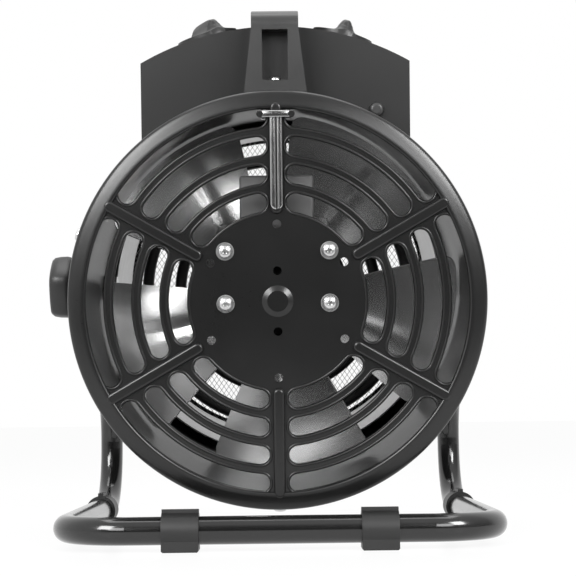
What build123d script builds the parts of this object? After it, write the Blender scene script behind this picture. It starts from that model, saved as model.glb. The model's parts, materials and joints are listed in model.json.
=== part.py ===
from build123d import *

import math
import os

# A portable drum fan heater on a tube stand, seen here in two frames, in millimetres.
# Stand frame: X to the right, Y away from the intake grille, Z up, origin on the floor below the pivot.
# Drum frame: the same directions before the drum is tilted, origin on the drum axis at mid length.

# ---------------------------------------------------------------- driving dimensions: stand
tube_radius = 9.5
tube_wall = 1.5
foot_height = 4.5              # what a foot clip adds below the tube
front_reach = 161.0            # pivot to the centre of the front bar
rear_reach = 165.0             # pivot to the centre of the heel
knee_height = 95.0             # where the uprights begin to lean forward
corner_bend = 45.0
heel_bend = 50.0
knee_bend = 44.0
pivot_height = 192.0
tube_overrun = 15.0            # tube left past the pivot
clip_width = 25.0
clip_wall = 2.6
plug_cap = 2.5
plug_round = 1.5
plug_stop = 3.0                # plug to the pivot hole
clip_edge = 1.0
clip_spread = 67.0             # middle plane to each front foot clip
rear_clip_place = 92.0         # pivot plane to each rear foot clip
pad_width = 20.0
pad_lip = 2.2

# ---------------------------------------------------------------- driving dimensions: drum
drum_radius = 136.0
drum_length = 300.0
sheet = 1.2
collar_radius = 140.4          # the swaged rear end that carries the grille
collar_length = 13.0
collar_slope = 6.0
outlet_lip = 10.0              # how far the outlet edge is turned inwards
rest_tilt = 7.0                # outlet end up, in degrees
pivot_rise = 5.0               # pivot above the drum axis
boss_stand_off = 3.2           # how far a pivot boss stands out of the drum's side

# ---------------------------------------------------------------- driving dimensions: intake grille
grille_radius = 142.0
grille_depth = 3.0             # pressed depth of the grille's bars
skirt_length = 14.0
skirt_gap = 0.3
hub_radius = 62.3
slot_width = 12.5
slot_pitch = 19.2
slot_rows = 4
sector_count = 6
web_half = 6.8                 # half of the web between the slots of two sectors
slot_edge = 1.1
rib_width = 8.0
rib_height = 2.6
rib_inner = 60.0
rib_outer = 136.0
boss_radius = 10.8
boss_top_radius = 7.2
boss_height = 2.0
spare_hole_radius = 3.0
spare_hole_circle = 52.9
inner_hole_reach = 20.9
rim_screw_turns = (270.0, 161.0, 90.0)
rim_screw_radius = 1.8
rim_screw_head = 4.4
rim_screw_height = 2.4
rim_screw_length = 5.0
rim_screw_flat = 0.4           # depth of the flat under each rim screw's head
motor_bolt_x = 35.8
motor_bolt_high = 34.5
motor_bolt_low = -1.5
bolt_radius = 2.5
bolt_clearance = 0.15
washer_radius = 6.2
washer_thickness = 1.0
pan_radius = 4.6
pan_height = 3.0

# ---------------------------------------------------------------- driving dimensions: motor and fan
bush_length = 8.0
bush_radius = 6.0
motor_radius = 64.0
motor_length = 56.0
motor_wall = 2.5
motor_back = 4.0
cover_thickness = 4.0
stator_length = 24.0
rotor_radius = 33.0
rotor_length = 28.0
air_gap = 0.5
shaft_radius = 5.0
bearing_radius = 11.0
bearing_width = 8.0
bearing_wall = 3.0
running_gap = 0.05
fan_centre = -56.0             # fan plane along the drum axis
fan_radius = 130.0
fan_blades = 5
blade_thickness = 1.6
blade_half_angle = 26.0
blade_root_radius = 30.0
blade_middle_radius = 78.0
blade_end_radius = 134.0       # beyond the fan's rim, where the blade is cut round
blade_root_camber = 2.0
blade_middle_camber = 6.0
blade_end_camber = 9.0
blade_pitches = (38.0, 26.0, 19.0)
first_blade = 32.0             # turn of the first blade about the drum axis
fan_cup_radius = 36.0
fan_cup_depth = 30.0
fan_cup_wall = 2.0
fan_boss_radius = 12.0
fan_boss_length = 30.0
fan_flange_radius = 20.0
fan_flange_thickness = 2.0
shaft_overrun = 3.0
shaft_gap = 1.0
motor_edge = 3.0
bolt_tip = 2.0
capacitor_half = 26.0
capacitor_top = 87.0
capacitor_depth = 38.0
capacitor_setback = 4.0
capacitor_corner = 3.0

# ---------------------------------------------------------------- driving dimensions: heater and outlet
shield_radius = 129.0
shield_start = 14.0
shield_end = 140.0
shield_spacers = 6
spacer_radius = 4.0
bracket_place = 20.0
bracket_thickness = 2.0
bracket_arm = 16.0
bracket_arms = 3
bracket_hub = 24.0
bracket_bore = 9.0
shield_wall = 1.0
spacer_inset = 20.0            # spacers to the ends of the heat shield
element_radius = 4.5
element_first_ring = 52.0
element_pitch = 26.0
element_gap_angle = 30.0
terminal_radius = 3.2
terminal_length = 16.0
guard_thickness = 1.6
guard_hole = 14.6
guard_pitch = 18.0
guard_field = 123.0

# ---------------------------------------------------------------- driving dimensions: control box and handle
box_half_width = 96.0
box_rear = -105.0
box_front = -15.0
box_rise = 58.0                # the curved lid above the drum
box_wall = 1.5
knob_angle = 14.6              # each control knob leans outwards by this
knob_place = -62.0
knob_radius = 22.5
knob_skirt = 6.0
knob_height = 19.0
knob_edge = 1.5
grip_edge = 2.0
grip_foot = 3.0                # how much wider the grip is at its foot
knob_bore_share = 0.6
grip_width = 8.0
grip_reach = 40.0
knob_seat_gap = 0.3
control_shaft = 3.0
control_body = 30.0
control_depth = 22.0
control_setback = 2.0          # a control's body to the lid
control_corner = 2.0
neck_radius = 5.0
reset_x = 72.0
reset_over_drum = 18.6
reset_radius = 5.0
reset_stand = 4.5
reset_travel = 2.0
reset_stem = 6.0               # what the button leaves inside the thermal cut-out
cutout_width = 26.0
cutout_height = 30.0
cutout_rise = 6.0
cutout_depth = 16.0
gland_x = -60.0
gland_over_drum = 24.0
gland_radius = 8.0
gland_nut = 12.0
gland_nut_length = 6.0
gland_cone = 9.0
gland_cone_length = 10.0
gland_thread_length = 8.0
cable_radius = 4.5
terminal_width = 60.0
terminal_height = 20.0
terminal_depth = 14.0
terminal_over_drum = 14.0
handle_near = -130.5
handle_far = 122.0
handle_leg = 22.0
handle_base_width = 46.0
handle_top_width = 33.0
handle_clear = 0.6             # the bar's ends over the control box
handle_bow = 8.4               # rise of the bar's underside in the middle
handle_thickness = 10.0
handle_end_thickness = 5.0
handle_foot_depth = 8.0        # how far the legs wrap down round the drum
handle_corner = 9.0
channel_width = 18.0
channel_depth = 15.0
channel_over_drum = 17.5
channel_roof = 6.0
handle_screw_radius = 2.0
handle_screw_head = 4.2
handle_screw_height = 3.0
handle_screw_tip = 3.0
handle_screw_in = 8.5          # screw line to the outer face of its leg
handle_nut_width = 21.0
handle_nut_length = 12.0
handle_nut_depths = (8.0, 4.5)

# ---------------------------------------------------------------- driving dimensions: pivot hardware
stud_radius = 4.0
stud_clearance = 0.4
pivot_boss_radius = 15.0
side_gap = 0.3
nut_half = 10.0
nut_thickness = 8.0
clamp_knob_radius = 25.5
clamp_knob_depth = 18.2
clamp_bore_depth = 9.6
clamp_lobes = 6
bolt_head_radius = 7.5
bolt_head_height = 3.6

# ---------------------------------------------------------------- placing
tube_z = foot_height + tube_radius
stand_half_span = drum_radius + boss_stand_off + side_gap + tube_radius
box_top_radius = drum_radius + box_rise
reset_z = math.sqrt(drum_radius**2 - reset_x**2) + reset_over_drum
gland_z = math.sqrt(drum_radius**2 - gland_x**2) + gland_over_drum
bar_underside = box_top_radius + handle_clear
handle_shoulder = bar_underside + handle_end_thickness
handle_crown = bar_underside + handle_bow + handle_thickness
channel_floor = drum_radius + channel_over_drum
channel_top = bar_underside - channel_roof
drum_rear = -drum_length / 2
grille_face = drum_rear - grille_depth
drum_place = (
    Location((0, 0, pivot_height)) * Location((0, 0, 0), (rest_tilt, 0, 0)) * Location((0, 0, -pivot_rise))
)
pieces = {}


def keep(builder, name, place=None):
    """Files a finished piece under its name, moved from its own frame to the stand frame."""
    solid = builder.part if place is None else builder.part.moved(place)
    pieces[name] = solid


def ring_profile(points):
    """The closed outline of (radius, along the drum) points, to be turned about the drum axis."""
    with BuildSketch(Plane.XY) as outline:
        with BuildLine():
            Polyline(*points, close=True)
        make_face()
    return outline.sketch


# ---------------------------------------------------------------- stand
lean = Vector(0, -rear_reach, pivot_height - knee_height).normalized()
left_top = Vector(-stand_half_span, 0, pivot_height) + lean * tube_overrun
right_top = Vector(stand_half_span, 0, pivot_height) + lean * tube_overrun

with BuildPart() as stand_tube:
    with BuildLine() as stand_path:
        stand_route = FilletPolyline(
            left_top,
            (-stand_half_span, rear_reach, knee_height),
            (-stand_half_span, rear_reach, tube_z),
            (-stand_half_span, -front_reach, tube_z),
            (stand_half_span, -front_reach, tube_z),
            (stand_half_span, rear_reach, tube_z),
            (stand_half_span, rear_reach, knee_height),
            right_top,
            radius=[knee_bend, heel_bend, corner_bend, corner_bend, heel_bend, knee_bend],
        )
    with BuildSketch(Plane(origin=stand_route @ 0, z_dir=stand_route % 0)):
        Circle(tube_radius)
        Circle(tube_radius - tube_wall, mode=Mode.SUBTRACT)
    sweep()
    with Locations((0, 0, pivot_height)):
        Cylinder(
            stud_radius + stud_clearance,
            2 * (stand_half_span + 2 * tube_radius),
            rotation=(0, 90, 0),
            mode=Mode.SUBTRACT,
        )
keep(stand_tube, "stand_tube")

plug_insert = tube_overrun - stud_radius - stud_clearance - plug_stop
for side, top in (("left", left_top), ("right", right_top)):
    with BuildPart() as tube_plug:
        with BuildSketch(Plane(origin=top, z_dir=lean)):
            Circle(tube_radius)
        extrude(amount=plug_cap)
        fillet(tube_plug.edges().filter_by(GeomType.CIRCLE).sort_by(Axis.Z)[-1], plug_round)
        with BuildSketch(Plane(origin=top, z_dir=-lean)):
            Circle(tube_radius - tube_wall - running_gap)
        extrude(amount=plug_insert)
    keep(tube_plug, f"tube_plug_{side}")


def foot_clip(across):
    """A springy clip round the tube with a flat pad below it. across is the plane square to the tube."""
    with BuildPart() as clip:
        with BuildSketch(across) as section:
            Circle(tube_radius + clip_wall)
            with Locations((0, -tube_z / 2)):
                Rectangle(pad_width, tube_z)
            with Locations((0, tube_radius + clip_wall)):
                Rectangle(2 * pad_lip, 2 * pad_lip)
            Circle(tube_radius + running_gap, mode=Mode.SUBTRACT)
        extrude(amount=clip_width / 2, both=True)
        floor_edges = clip.faces().sort_by(Axis.Z)[0].edges()
        chamfer(floor_edges, clip_edge)
    return clip


for side, x in (("left", -clip_spread), ("right", clip_spread)):
    front_plane = Plane(origin=(x, -front_reach, tube_z), x_dir=(0, 1, 0), z_dir=(1, 0, 0))
    keep(foot_clip(front_plane), f"foot_clip_front_{side}")
for side, x in (("left", -stand_half_span), ("right", stand_half_span)):
    rear_plane = Plane(origin=(x, rear_clip_place, tube_z), x_dir=(1, 0, 0), z_dir=(0, -1, 0))
    keep(foot_clip(rear_plane), f"foot_clip_rear_{side}")

# ---------------------------------------------------------------- drum
rim_screw_line = drum_rear + (collar_length - skirt_gap) / 2


def rim_planes():
    """A plane on the grille's skirt for each rim screw, facing outwards."""
    planes = []
    for turn in rim_screw_turns:
        angle = math.radians(turn)
        outward = Vector(math.cos(angle), 0, math.sin(angle))
        foot = Vector(0, rim_screw_line, 0) + outward * (grille_radius - rim_screw_flat)
        planes.append(Plane(origin=foot, x_dir=(0, 1, 0), z_dir=outward))
    return planes


def bored(radius, length, flat=0):
    """Every rim screw's hole as one solid, with the flat that its head sits on."""
    with BuildPart() as cutters:
        for seat in rim_planes():
            with BuildSketch(seat):
                Circle(radius)
            extrude(amount=length, both=True)
            if flat:
                with BuildSketch(seat):
                    Circle(flat)
                extrude(amount=length)
    return cutters.part


pivot_axis_hole = stud_radius + stud_clearance
with BuildPart() as drum_shell:
    revolve(ring_profile([
        (collar_radius, drum_rear),
        (collar_radius, drum_rear + collar_length),
        (drum_radius, drum_rear + collar_length + collar_slope),
        (drum_radius, -drum_rear),
        (drum_radius - outlet_lip, -drum_rear),
        (drum_radius - outlet_lip, -drum_rear - sheet),
        (drum_radius - sheet, -drum_rear - sheet),
        (drum_radius - sheet, drum_rear + collar_length + collar_slope),
        (collar_radius - sheet, drum_rear + collar_length),
        (collar_radius - sheet, drum_rear),
    ]), axis=Axis.Y)
    with Locations((0, 0, pivot_rise)):
        Cylinder(pivot_axis_hole, 2 * collar_radius, rotation=(0, 90, 0), mode=Mode.SUBTRACT)
    handle_screw_line = [(0, handle_near + handle_screw_in), (0, handle_far - handle_screw_in)]
    with BuildSketch(Plane.XY):
        with Locations(*handle_screw_line):
            Circle(handle_screw_radius + bolt_clearance)
    extrude(amount=collar_radius, mode=Mode.SUBTRACT)
    add(bored(rim_screw_radius + running_gap, 8), mode=Mode.SUBTRACT)
keep(drum_shell, "drum_shell", drum_place)

boss_end = stand_half_span - tube_radius - side_gap
for side, sign in (("left", -1), ("right", 1)):
    outward = Plane(origin=(0, 0, pivot_rise), x_dir=(0, 1, 0), z_dir=(sign, 0, 0))
    with BuildPart() as pivot_boss:
        with BuildSketch(outward):
            Circle(pivot_boss_radius)
            Circle(pivot_axis_hole, mode=Mode.SUBTRACT)
        extrude(amount=boss_end)
        Cylinder(drum_radius, drum_length, rotation=(90, 0, 0), mode=Mode.SUBTRACT)
    keep(pivot_boss, f"pivot_boss_{side}", drum_place)

    nut_outer = math.sqrt((drum_radius - sheet) ** 2 - (pivot_rise + nut_half) ** 2)
    with BuildPart() as pivot_nut:
        with BuildSketch(outward.offset(nut_outer - nut_thickness)):
            RegularPolygon(nut_half, 6, major_radius=True)
            Circle(stud_radius + running_gap, mode=Mode.SUBTRACT)
        extrude(amount=nut_thickness)
    keep(pivot_nut, f"pivot_nut_{side}", drum_place)

tube_face = stand_half_span + tube_radius + side_gap
stud_inner = nut_outer - nut_thickness - 2
with BuildPart() as pivot_bolt:
    right_out = Plane(origin=(0, 0, pivot_rise), x_dir=(0, 1, 0), z_dir=(1, 0, 0))
    with BuildSketch(right_out.offset(stud_inner)):
        Circle(stud_radius)
    extrude(amount=tube_face - stud_inner)
    with BuildSketch(right_out.offset(tube_face)):
        Circle(bolt_head_radius)
    extrude(amount=bolt_head_height)
    fillet(pivot_bolt.faces().sort_by(Axis.X)[-1].edges(), 2.2)
keep(pivot_bolt, "pivot_bolt_right", drum_place)

# ---------------------------------------------------------------- clamp knob on the left
left_out = Plane(origin=(0, 0, pivot_rise), x_dir=(0, 1, 0), z_dir=(-1, 0, 0))
with BuildPart() as clamp_stud:
    with BuildSketch(left_out.offset(stud_inner)):
        Circle(stud_radius)
    extrude(amount=tube_face - stud_inner + clamp_bore_depth)
keep(clamp_stud, "clamp_stud", drum_place)

with BuildPart() as clamp_knob:
    with BuildSketch(left_out.offset(tube_face)):
        Circle(clamp_knob_radius * 0.86)
        with PolarLocations(clamp_knob_radius * 0.72, clamp_lobes):
            Circle(clamp_knob_radius * 0.28)
    extrude(amount=clamp_knob_depth, taper=4)
    fillet(clamp_knob.faces().sort_by(Axis.X)[0].edges(), 1.5)
    with BuildSketch(left_out.offset(tube_face)):
        Circle(stud_radius + running_gap)
    extrude(amount=clamp_bore_depth + running_gap, mode=Mode.SUBTRACT)
keep(clamp_knob, "clamp_knob", drum_place)

# ---------------------------------------------------------------- intake grille
slot_radii = [hub_radius + slot_width / 2 + row * slot_pitch for row in range(slot_rows)]
sector = 360 / sector_count
motor_bolts = [
    (x, z) for x in (-motor_bolt_x, motor_bolt_x) for z in (motor_bolt_high, motor_bolt_low)
]
with BuildPart() as rear_grille:
    revolve(ring_profile([
        (0, grille_face),
        (grille_radius, grille_face),
        (grille_radius, grille_face + skirt_length),
        (collar_radius + skirt_gap, grille_face + skirt_length),
        (collar_radius + skirt_gap, drum_rear),
        (0, drum_rear),
    ]), axis=Axis.Y)
    rim = rear_grille.faces().sort_by(Axis.Y)[0].edges()
    fillet(rim, 2.0)
    with BuildSketch(Plane.XZ.offset(-grille_face)) as slots:
        for radius in slot_radii:
            end_angle = math.degrees(math.asin((web_half + slot_width / 2) / radius))
            for index in range(sector_count):
                start = (index - 0.5) * sector + end_angle
                SlotArc(CenterArc((0, 0), radius, start, sector - 2 * end_angle), slot_width)
    extrude(amount=-grille_depth, mode=Mode.SUBTRACT)
    slot_edges = rear_grille.faces().sort_by(Axis.Y)[0].inner_wires().edges()
    fillet(slot_edges, slot_edge)
    with BuildSketch(Plane.XZ.offset(-grille_face)) as ribs:
        with PolarLocations((rib_inner + rib_outer) / 2, sector_count, start_angle=sector / 2):
            SlotOverall(rib_outer - rib_inner, rib_width)
    extrude(amount=rib_height)
    rib_tops = rear_grille.faces().filter_by(Axis.Y).group_by(Axis.Y)[0]
    fillet(rib_tops.edges(), rib_height * 0.75)
    with BuildSketch(Plane.XZ.offset(-grille_face)):
        Circle(boss_radius)
    extrude(amount=boss_height, taper=math.degrees(math.atan((boss_radius - boss_top_radius) / boss_height)))
    with BuildSketch(Plane.XZ.offset(-grille_face)) as grille_holes:
        with PolarLocations(spare_hole_circle, sector_count, start_angle=sector / 2):
            Circle(spare_hole_radius)
        with Locations((0, inner_hole_reach), (0, -inner_hole_reach)):
            Circle(spare_hole_radius)
        with Locations(*motor_bolts):
            Circle(bolt_radius + bolt_clearance)
    extrude(amount=-grille_depth, mode=Mode.SUBTRACT)
    add(bored(rim_screw_radius + running_gap, 8, rim_screw_head + side_gap), mode=Mode.SUBTRACT)
keep(rear_grille, "rear_grille", drum_place)

with BuildPart() as rim_screws:
    for seat in rim_planes():
        with BuildSketch(seat):
            Circle(rim_screw_radius)
        extrude(amount=-rim_screw_length)
        with BuildSketch(seat):
            Circle(rim_screw_head)
        extrude(amount=rim_screw_height, taper=20)
keep(rim_screws, "rim_screws", drum_place)

# ---------------------------------------------------------------- motor bolts, washers and bushes
motor_rear = drum_rear + bush_length
with BuildPart() as motor_washers:
    with BuildSketch(Plane.XZ.offset(-grille_face)):
        with Locations(*motor_bolts):
            Circle(washer_radius)
            Circle(bolt_radius + bolt_clearance, mode=Mode.SUBTRACT)
    extrude(amount=washer_thickness)
keep(motor_washers, "motor_washers", drum_place)

with BuildPart() as motor_bolts_piece:
    with BuildSketch(Plane.XZ.offset(-grille_face + washer_thickness)):
        with Locations(*motor_bolts):
            Circle(pan_radius)
    extrude(amount=pan_height)
    fillet(motor_bolts_piece.faces().group_by(Axis.Y)[0].edges(), 1.2)
    with BuildSketch(Plane.XZ.offset(-grille_face + washer_thickness)):
        with Locations(*motor_bolts):
            Circle(bolt_radius)
    extrude(amount=-(washer_thickness + grille_depth + bush_length + motor_back + bolt_tip))
keep(motor_bolts_piece, "motor_bolts", drum_place)

with BuildPart() as motor_bushes:
    with BuildSketch(Plane.XZ.offset(-drum_rear)):
        with Locations(*motor_bolts):
            Circle(bush_radius)
            Circle(bolt_radius + bolt_clearance, mode=Mode.SUBTRACT)
    extrude(amount=-bush_length)
keep(motor_bushes, "motor_bushes", drum_place)

# ---------------------------------------------------------------- motor
motor_front = motor_rear + motor_length
bearing_outer = bearing_radius + bearing_wall
with BuildPart() as motor_can:
    revolve(ring_profile([
        (0, motor_rear),
        (motor_radius, motor_rear),
        (motor_radius, motor_front),
        (motor_radius - motor_wall, motor_front),
        (motor_radius - motor_wall, motor_rear + motor_back),
        (bearing_outer, motor_rear + motor_back),
        (bearing_outer, motor_rear + motor_back + bearing_width),
        (bearing_radius, motor_rear + motor_back + bearing_width),
        (bearing_radius, motor_rear + motor_back),
        (0, motor_rear + motor_back),
    ]), axis=Axis.Y)
    fillet(motor_can.faces().sort_by(Axis.Y)[0].edges(), motor_edge)
    with BuildSketch(Plane.XZ.offset(-motor_rear)):
        with Locations(*motor_bolts):
            Circle(bolt_radius + bolt_clearance)
    extrude(amount=-motor_back, mode=Mode.SUBTRACT)
keep(motor_can, "motor_can", drum_place)

cover_front = motor_front + cover_thickness
with BuildPart() as motor_cover:
    revolve(ring_profile([
        (shaft_radius + shaft_gap, cover_front),
        (motor_radius, cover_front),
        (motor_radius, motor_front),
        (bearing_outer, motor_front),
        (bearing_outer, motor_front - bearing_width),
        (bearing_radius, motor_front - bearing_width),
        (bearing_radius, motor_front),
        (shaft_radius + shaft_gap, motor_front),
    ]), axis=Axis.Y)
keep(motor_cover, "motor_cover", drum_place)

rear_bearing_start = motor_rear + motor_back
front_bearing_start = motor_front - bearing_width
for name, start in (("bearing_rear", rear_bearing_start), ("bearing_front", front_bearing_start)):
    with BuildPart() as bearing:
        revolve(ring_profile([
            (shaft_radius + running_gap, start),
            (bearing_radius, start),
            (bearing_radius, start + bearing_width),
            (shaft_radius + running_gap, start + bearing_width),
        ]), axis=Axis.Y)
    keep(bearing, name, drum_place)

core_middle = (rear_bearing_start + bearing_width + front_bearing_start) / 2
with BuildPart() as stator:
    revolve(ring_profile([
        (rotor_radius + air_gap, core_middle - stator_length / 2),
        (motor_radius - motor_wall, core_middle - stator_length / 2),
        (motor_radius - motor_wall, core_middle + stator_length / 2),
        (rotor_radius + air_gap, core_middle + stator_length / 2),
    ]), axis=Axis.Y)
keep(stator, "stator", drum_place)

with BuildPart() as rotor:
    revolve(ring_profile([
        (shaft_radius, core_middle - rotor_length / 2),
        (rotor_radius, core_middle - rotor_length / 2),
        (rotor_radius, core_middle + rotor_length / 2),
        (shaft_radius, core_middle + rotor_length / 2),
    ]), axis=Axis.Y)
keep(rotor, "rotor", drum_place)

with BuildPart() as capacitor_box:
    with BuildSketch(Plane.XZ.offset(-motor_rear - capacitor_setback)):
        with Locations((0, capacitor_top / 2)):
            RectangleRounded(2 * capacitor_half, capacitor_top, capacitor_corner)
        Circle(motor_radius, mode=Mode.SUBTRACT)
        with Locations((0, -capacitor_top / 2)):
            Rectangle(4 * capacitor_half, capacitor_top, mode=Mode.SUBTRACT)
    extrude(amount=-capacitor_depth)
keep(capacitor_box, "capacitor_box", drum_place)

# ---------------------------------------------------------------- fan
cup_start = fan_centre - fan_cup_depth / 2
cup_end = fan_centre + fan_cup_depth / 2
boss_start = cup_end + fan_flange_thickness - fan_boss_length
shaft_end = cup_end + fan_flange_thickness + shaft_overrun
with BuildPart() as motor_shaft:
    revolve(ring_profile([
        (0, rear_bearing_start),
        (shaft_radius, rear_bearing_start),
        (shaft_radius, shaft_end),
        (0, shaft_end),
    ]), axis=Axis.Y)
keep(motor_shaft, "motor_shaft", drum_place)

with BuildPart() as fan_hub:
    revolve(ring_profile([
        (shaft_radius, boss_start),
        (fan_boss_radius, boss_start),
        (fan_boss_radius, cup_end),
        (fan_flange_radius, cup_end),
        (fan_flange_radius, cup_end + fan_flange_thickness),
        (shaft_radius, cup_end + fan_flange_thickness),
    ]), axis=Axis.Y)
keep(fan_hub, "fan_hub", drum_place)

with BuildPart() as blade:
    radii = (blade_root_radius, blade_middle_radius, blade_end_radius)
    cambers = (blade_root_camber, blade_middle_camber, blade_end_camber)
    for radius, pitch, camber in zip(radii, blade_pitches, cambers):
        chord = 2 * radius * math.sin(math.radians(blade_half_angle)) / math.cos(math.radians(pitch))
        section = Plane(origin=(0, fan_centre, radius), x_dir=(1, 0, 0), z_dir=(0, 0, 1))
        with BuildSketch(section.rotated((0, 0, pitch))):
            with BuildLine():
                near = ThreePointArc((-chord / 2, 0), (0, camber), (chord / 2, 0))
                far = ThreePointArc(
                    (-chord / 2, blade_thickness), (0, camber + blade_thickness), (chord / 2, blade_thickness)
                )
                Line(near @ 0, far @ 0)
                Line(near @ 1, far @ 1)
            make_face()
    loft()
    with Locations((0, fan_centre, 0)):
        Cylinder(fan_radius, drum_length, rotation=(90, 0, 0), mode=Mode.INTERSECT)

with BuildPart() as impeller:
    revolve(ring_profile([
        (fan_cup_radius, cup_start),
        (fan_cup_radius, cup_end),
        (fan_boss_radius, cup_end),
        (fan_boss_radius, cup_end - fan_cup_wall),
        (fan_cup_radius - fan_cup_wall, cup_end - fan_cup_wall),
        (fan_cup_radius - fan_cup_wall, cup_start),
    ]), axis=Axis.Y)
    for index in range(fan_blades):
        add(blade.part.rotate(Axis.Y, first_blade + index * 360 / fan_blades))
    with Locations((0, fan_centre - fan_cup_wall, 0)):
        Cylinder(
            fan_cup_radius - fan_cup_wall,
            fan_cup_depth,
            rotation=(90, 0, 0),
            mode=Mode.SUBTRACT,
        )
keep(impeller, "impeller", drum_place)

# ---------------------------------------------------------------- heater
with BuildPart() as heat_shield:
    revolve(ring_profile([
        (shield_radius - shield_wall, shield_start),
        (shield_radius, shield_start),
        (shield_radius, shield_end),
        (shield_radius - shield_wall, shield_end),
    ]), axis=Axis.Y)
keep(heat_shield, "heat_shield", drum_place)

with BuildPart() as shield_spacer_set:
    for place in (shield_start + spacer_inset, shield_end - spacer_inset):
        for index in range(shield_spacers // 2):
            angle = math.radians(30 + index * 720 / shield_spacers)
            outward = Vector(math.cos(angle), 0, math.sin(angle))
            foot = Vector(0, place, 0) + outward * (shield_radius - spacer_radius)
            with BuildSketch(Plane(origin=foot, z_dir=outward)):
                Circle(spacer_radius)
            extrude(amount=drum_radius - shield_radius + spacer_radius)
    Cylinder(drum_radius - sheet, 2 * drum_length, rotation=(90, 0, 0), mode=Mode.INTERSECT)
    Cylinder(shield_radius, 2 * drum_length, rotation=(90, 0, 0), mode=Mode.SUBTRACT)
keep(shield_spacer_set, "shield_spacers", drum_place)

with BuildPart() as element_bracket:
    with BuildSketch(Plane.XZ.offset(-bracket_place)):
        Circle(bracket_hub)
        for index in range(bracket_arms):
            with Locations(Rotation(0, 0, 90 + index * 360 / bracket_arms)):
                with Locations((shield_radius / 2, 0)):
                    Rectangle(shield_radius, bracket_arm)
        Circle(shield_radius - shield_wall, mode=Mode.INTERSECT)
        Circle(bracket_bore, mode=Mode.SUBTRACT)
    extrude(amount=bracket_thickness)
keep(element_bracket, "element_bracket", drum_place)

element_place = bracket_place + element_radius
for ring_index, name in enumerate(("inner", "middle", "outer")):
    radius = element_first_ring + ring_index * element_pitch
    with BuildPart() as element:
        span = 360 - element_gap_angle
        start = -90 + element_gap_angle / 2
        with BuildLine(Plane.XZ.offset(-element_place)) as ring:
            turn = CenterArc((0, 0), radius, start, span)
        with BuildSketch(Plane(origin=turn @ 0, z_dir=turn % 0)):
            Circle(element_radius)
        sweep(path=ring.line)
        for end in (turn @ 0, turn @ 1):
            with BuildSketch(Plane(origin=end, z_dir=(0, 1, 0))):
                Circle(terminal_radius)
            extrude(amount=terminal_length)
    keep(element, f"heating_element_{name}", drum_place)

guard_back = -drum_rear - sheet - guard_thickness
with BuildPart() as outlet_guard:
    with BuildSketch(Plane.XZ.offset(-guard_back)):
        Circle(drum_radius - sheet - side_gap)
        steps = math.ceil(guard_field / guard_pitch)
        reach = guard_field - guard_hole * 0.72
        spots = [
            (column * guard_pitch, row * guard_pitch)
            for column in range(-steps, steps + 1)
            for row in range(-steps, steps + 1)
            if math.hypot(column * guard_pitch, row * guard_pitch) < reach
        ]
        with Locations(*spots):
            Rectangle(guard_hole, guard_hole, mode=Mode.SUBTRACT)
    extrude(amount=-guard_thickness)
keep(outlet_guard, "outlet_guard", drum_place)

# ---------------------------------------------------------------- control box
lean_angle = math.radians(knob_angle)


def control_plane(sign, radius):
    """A plane square to a control's shaft, at this radius from the drum axis."""
    out = Vector(sign * math.sin(lean_angle), 0, math.cos(lean_angle))
    return Plane(origin=Vector(0, knob_place, 0) + out * radius, x_dir=(0, 1, 0), z_dir=out)


with BuildPart() as control_box:
    with BuildSketch(Plane.XZ.offset(-box_front)):
        with Locations((0, box_top_radius / 2)):
            Rectangle(2 * box_half_width, box_top_radius)
        Circle(box_top_radius, mode=Mode.INTERSECT)
        Circle(drum_radius + side_gap, mode=Mode.SUBTRACT)
    extrude(amount=box_front - box_rear)
    with BuildSketch(Plane.XZ.offset(-box_front + box_wall)):
        with Locations((0, box_top_radius / 2)):
            Rectangle(2 * (box_half_width - box_wall), box_top_radius)
        Circle(box_top_radius - box_wall, mode=Mode.INTERSECT)
        Circle(drum_radius - sheet, mode=Mode.SUBTRACT)
    extrude(amount=box_front - box_rear - 2 * box_wall, mode=Mode.SUBTRACT)
    for sign in (-1, 1):
        with BuildSketch(control_plane(sign, box_top_radius - 3 * box_wall)):
            Circle(neck_radius + bolt_clearance)
        extrude(amount=6 * box_wall, mode=Mode.SUBTRACT)
    with BuildSketch(Plane.XZ.offset(-box_rear)):
        with Locations((reset_x, reset_z)):
            Circle(reset_radius + side_gap)
    extrude(amount=-3 * box_wall, both=True, mode=Mode.SUBTRACT)
    with BuildSketch(Plane.XZ.offset(-box_front)):
        with Locations((gland_x, gland_z)):
            Circle(gland_radius)
    extrude(amount=3 * box_wall, both=True, mode=Mode.SUBTRACT)
keep(control_box, "control_box", drum_place)

with BuildPart() as cable_gland:
    with BuildSketch(Plane.XZ.offset(-box_front)):
        with Locations((gland_x, gland_z)):
            RegularPolygon(gland_nut, 6, major_radius=True)
    extrude(amount=-gland_nut_length)
    with BuildSketch(Plane.XZ.offset(-box_front - gland_nut_length)):
        with Locations((gland_x, gland_z)):
            Circle(gland_cone)
    extrude(amount=-gland_cone_length, taper=8)
    with BuildSketch(Plane.XZ.offset(-box_front)):
        with Locations((gland_x, gland_z)):
            Circle(gland_radius - running_gap)
    extrude(amount=gland_thread_length)
    gland_outer = gland_nut_length + gland_cone_length
    with BuildSketch(Plane.XZ.offset(-box_front - gland_outer)):
        with Locations((gland_x, gland_z)):
            Circle(cable_radius)
    extrude(amount=gland_outer + gland_thread_length, mode=Mode.SUBTRACT)
keep(cable_gland, "cable_gland", drum_place)

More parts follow.
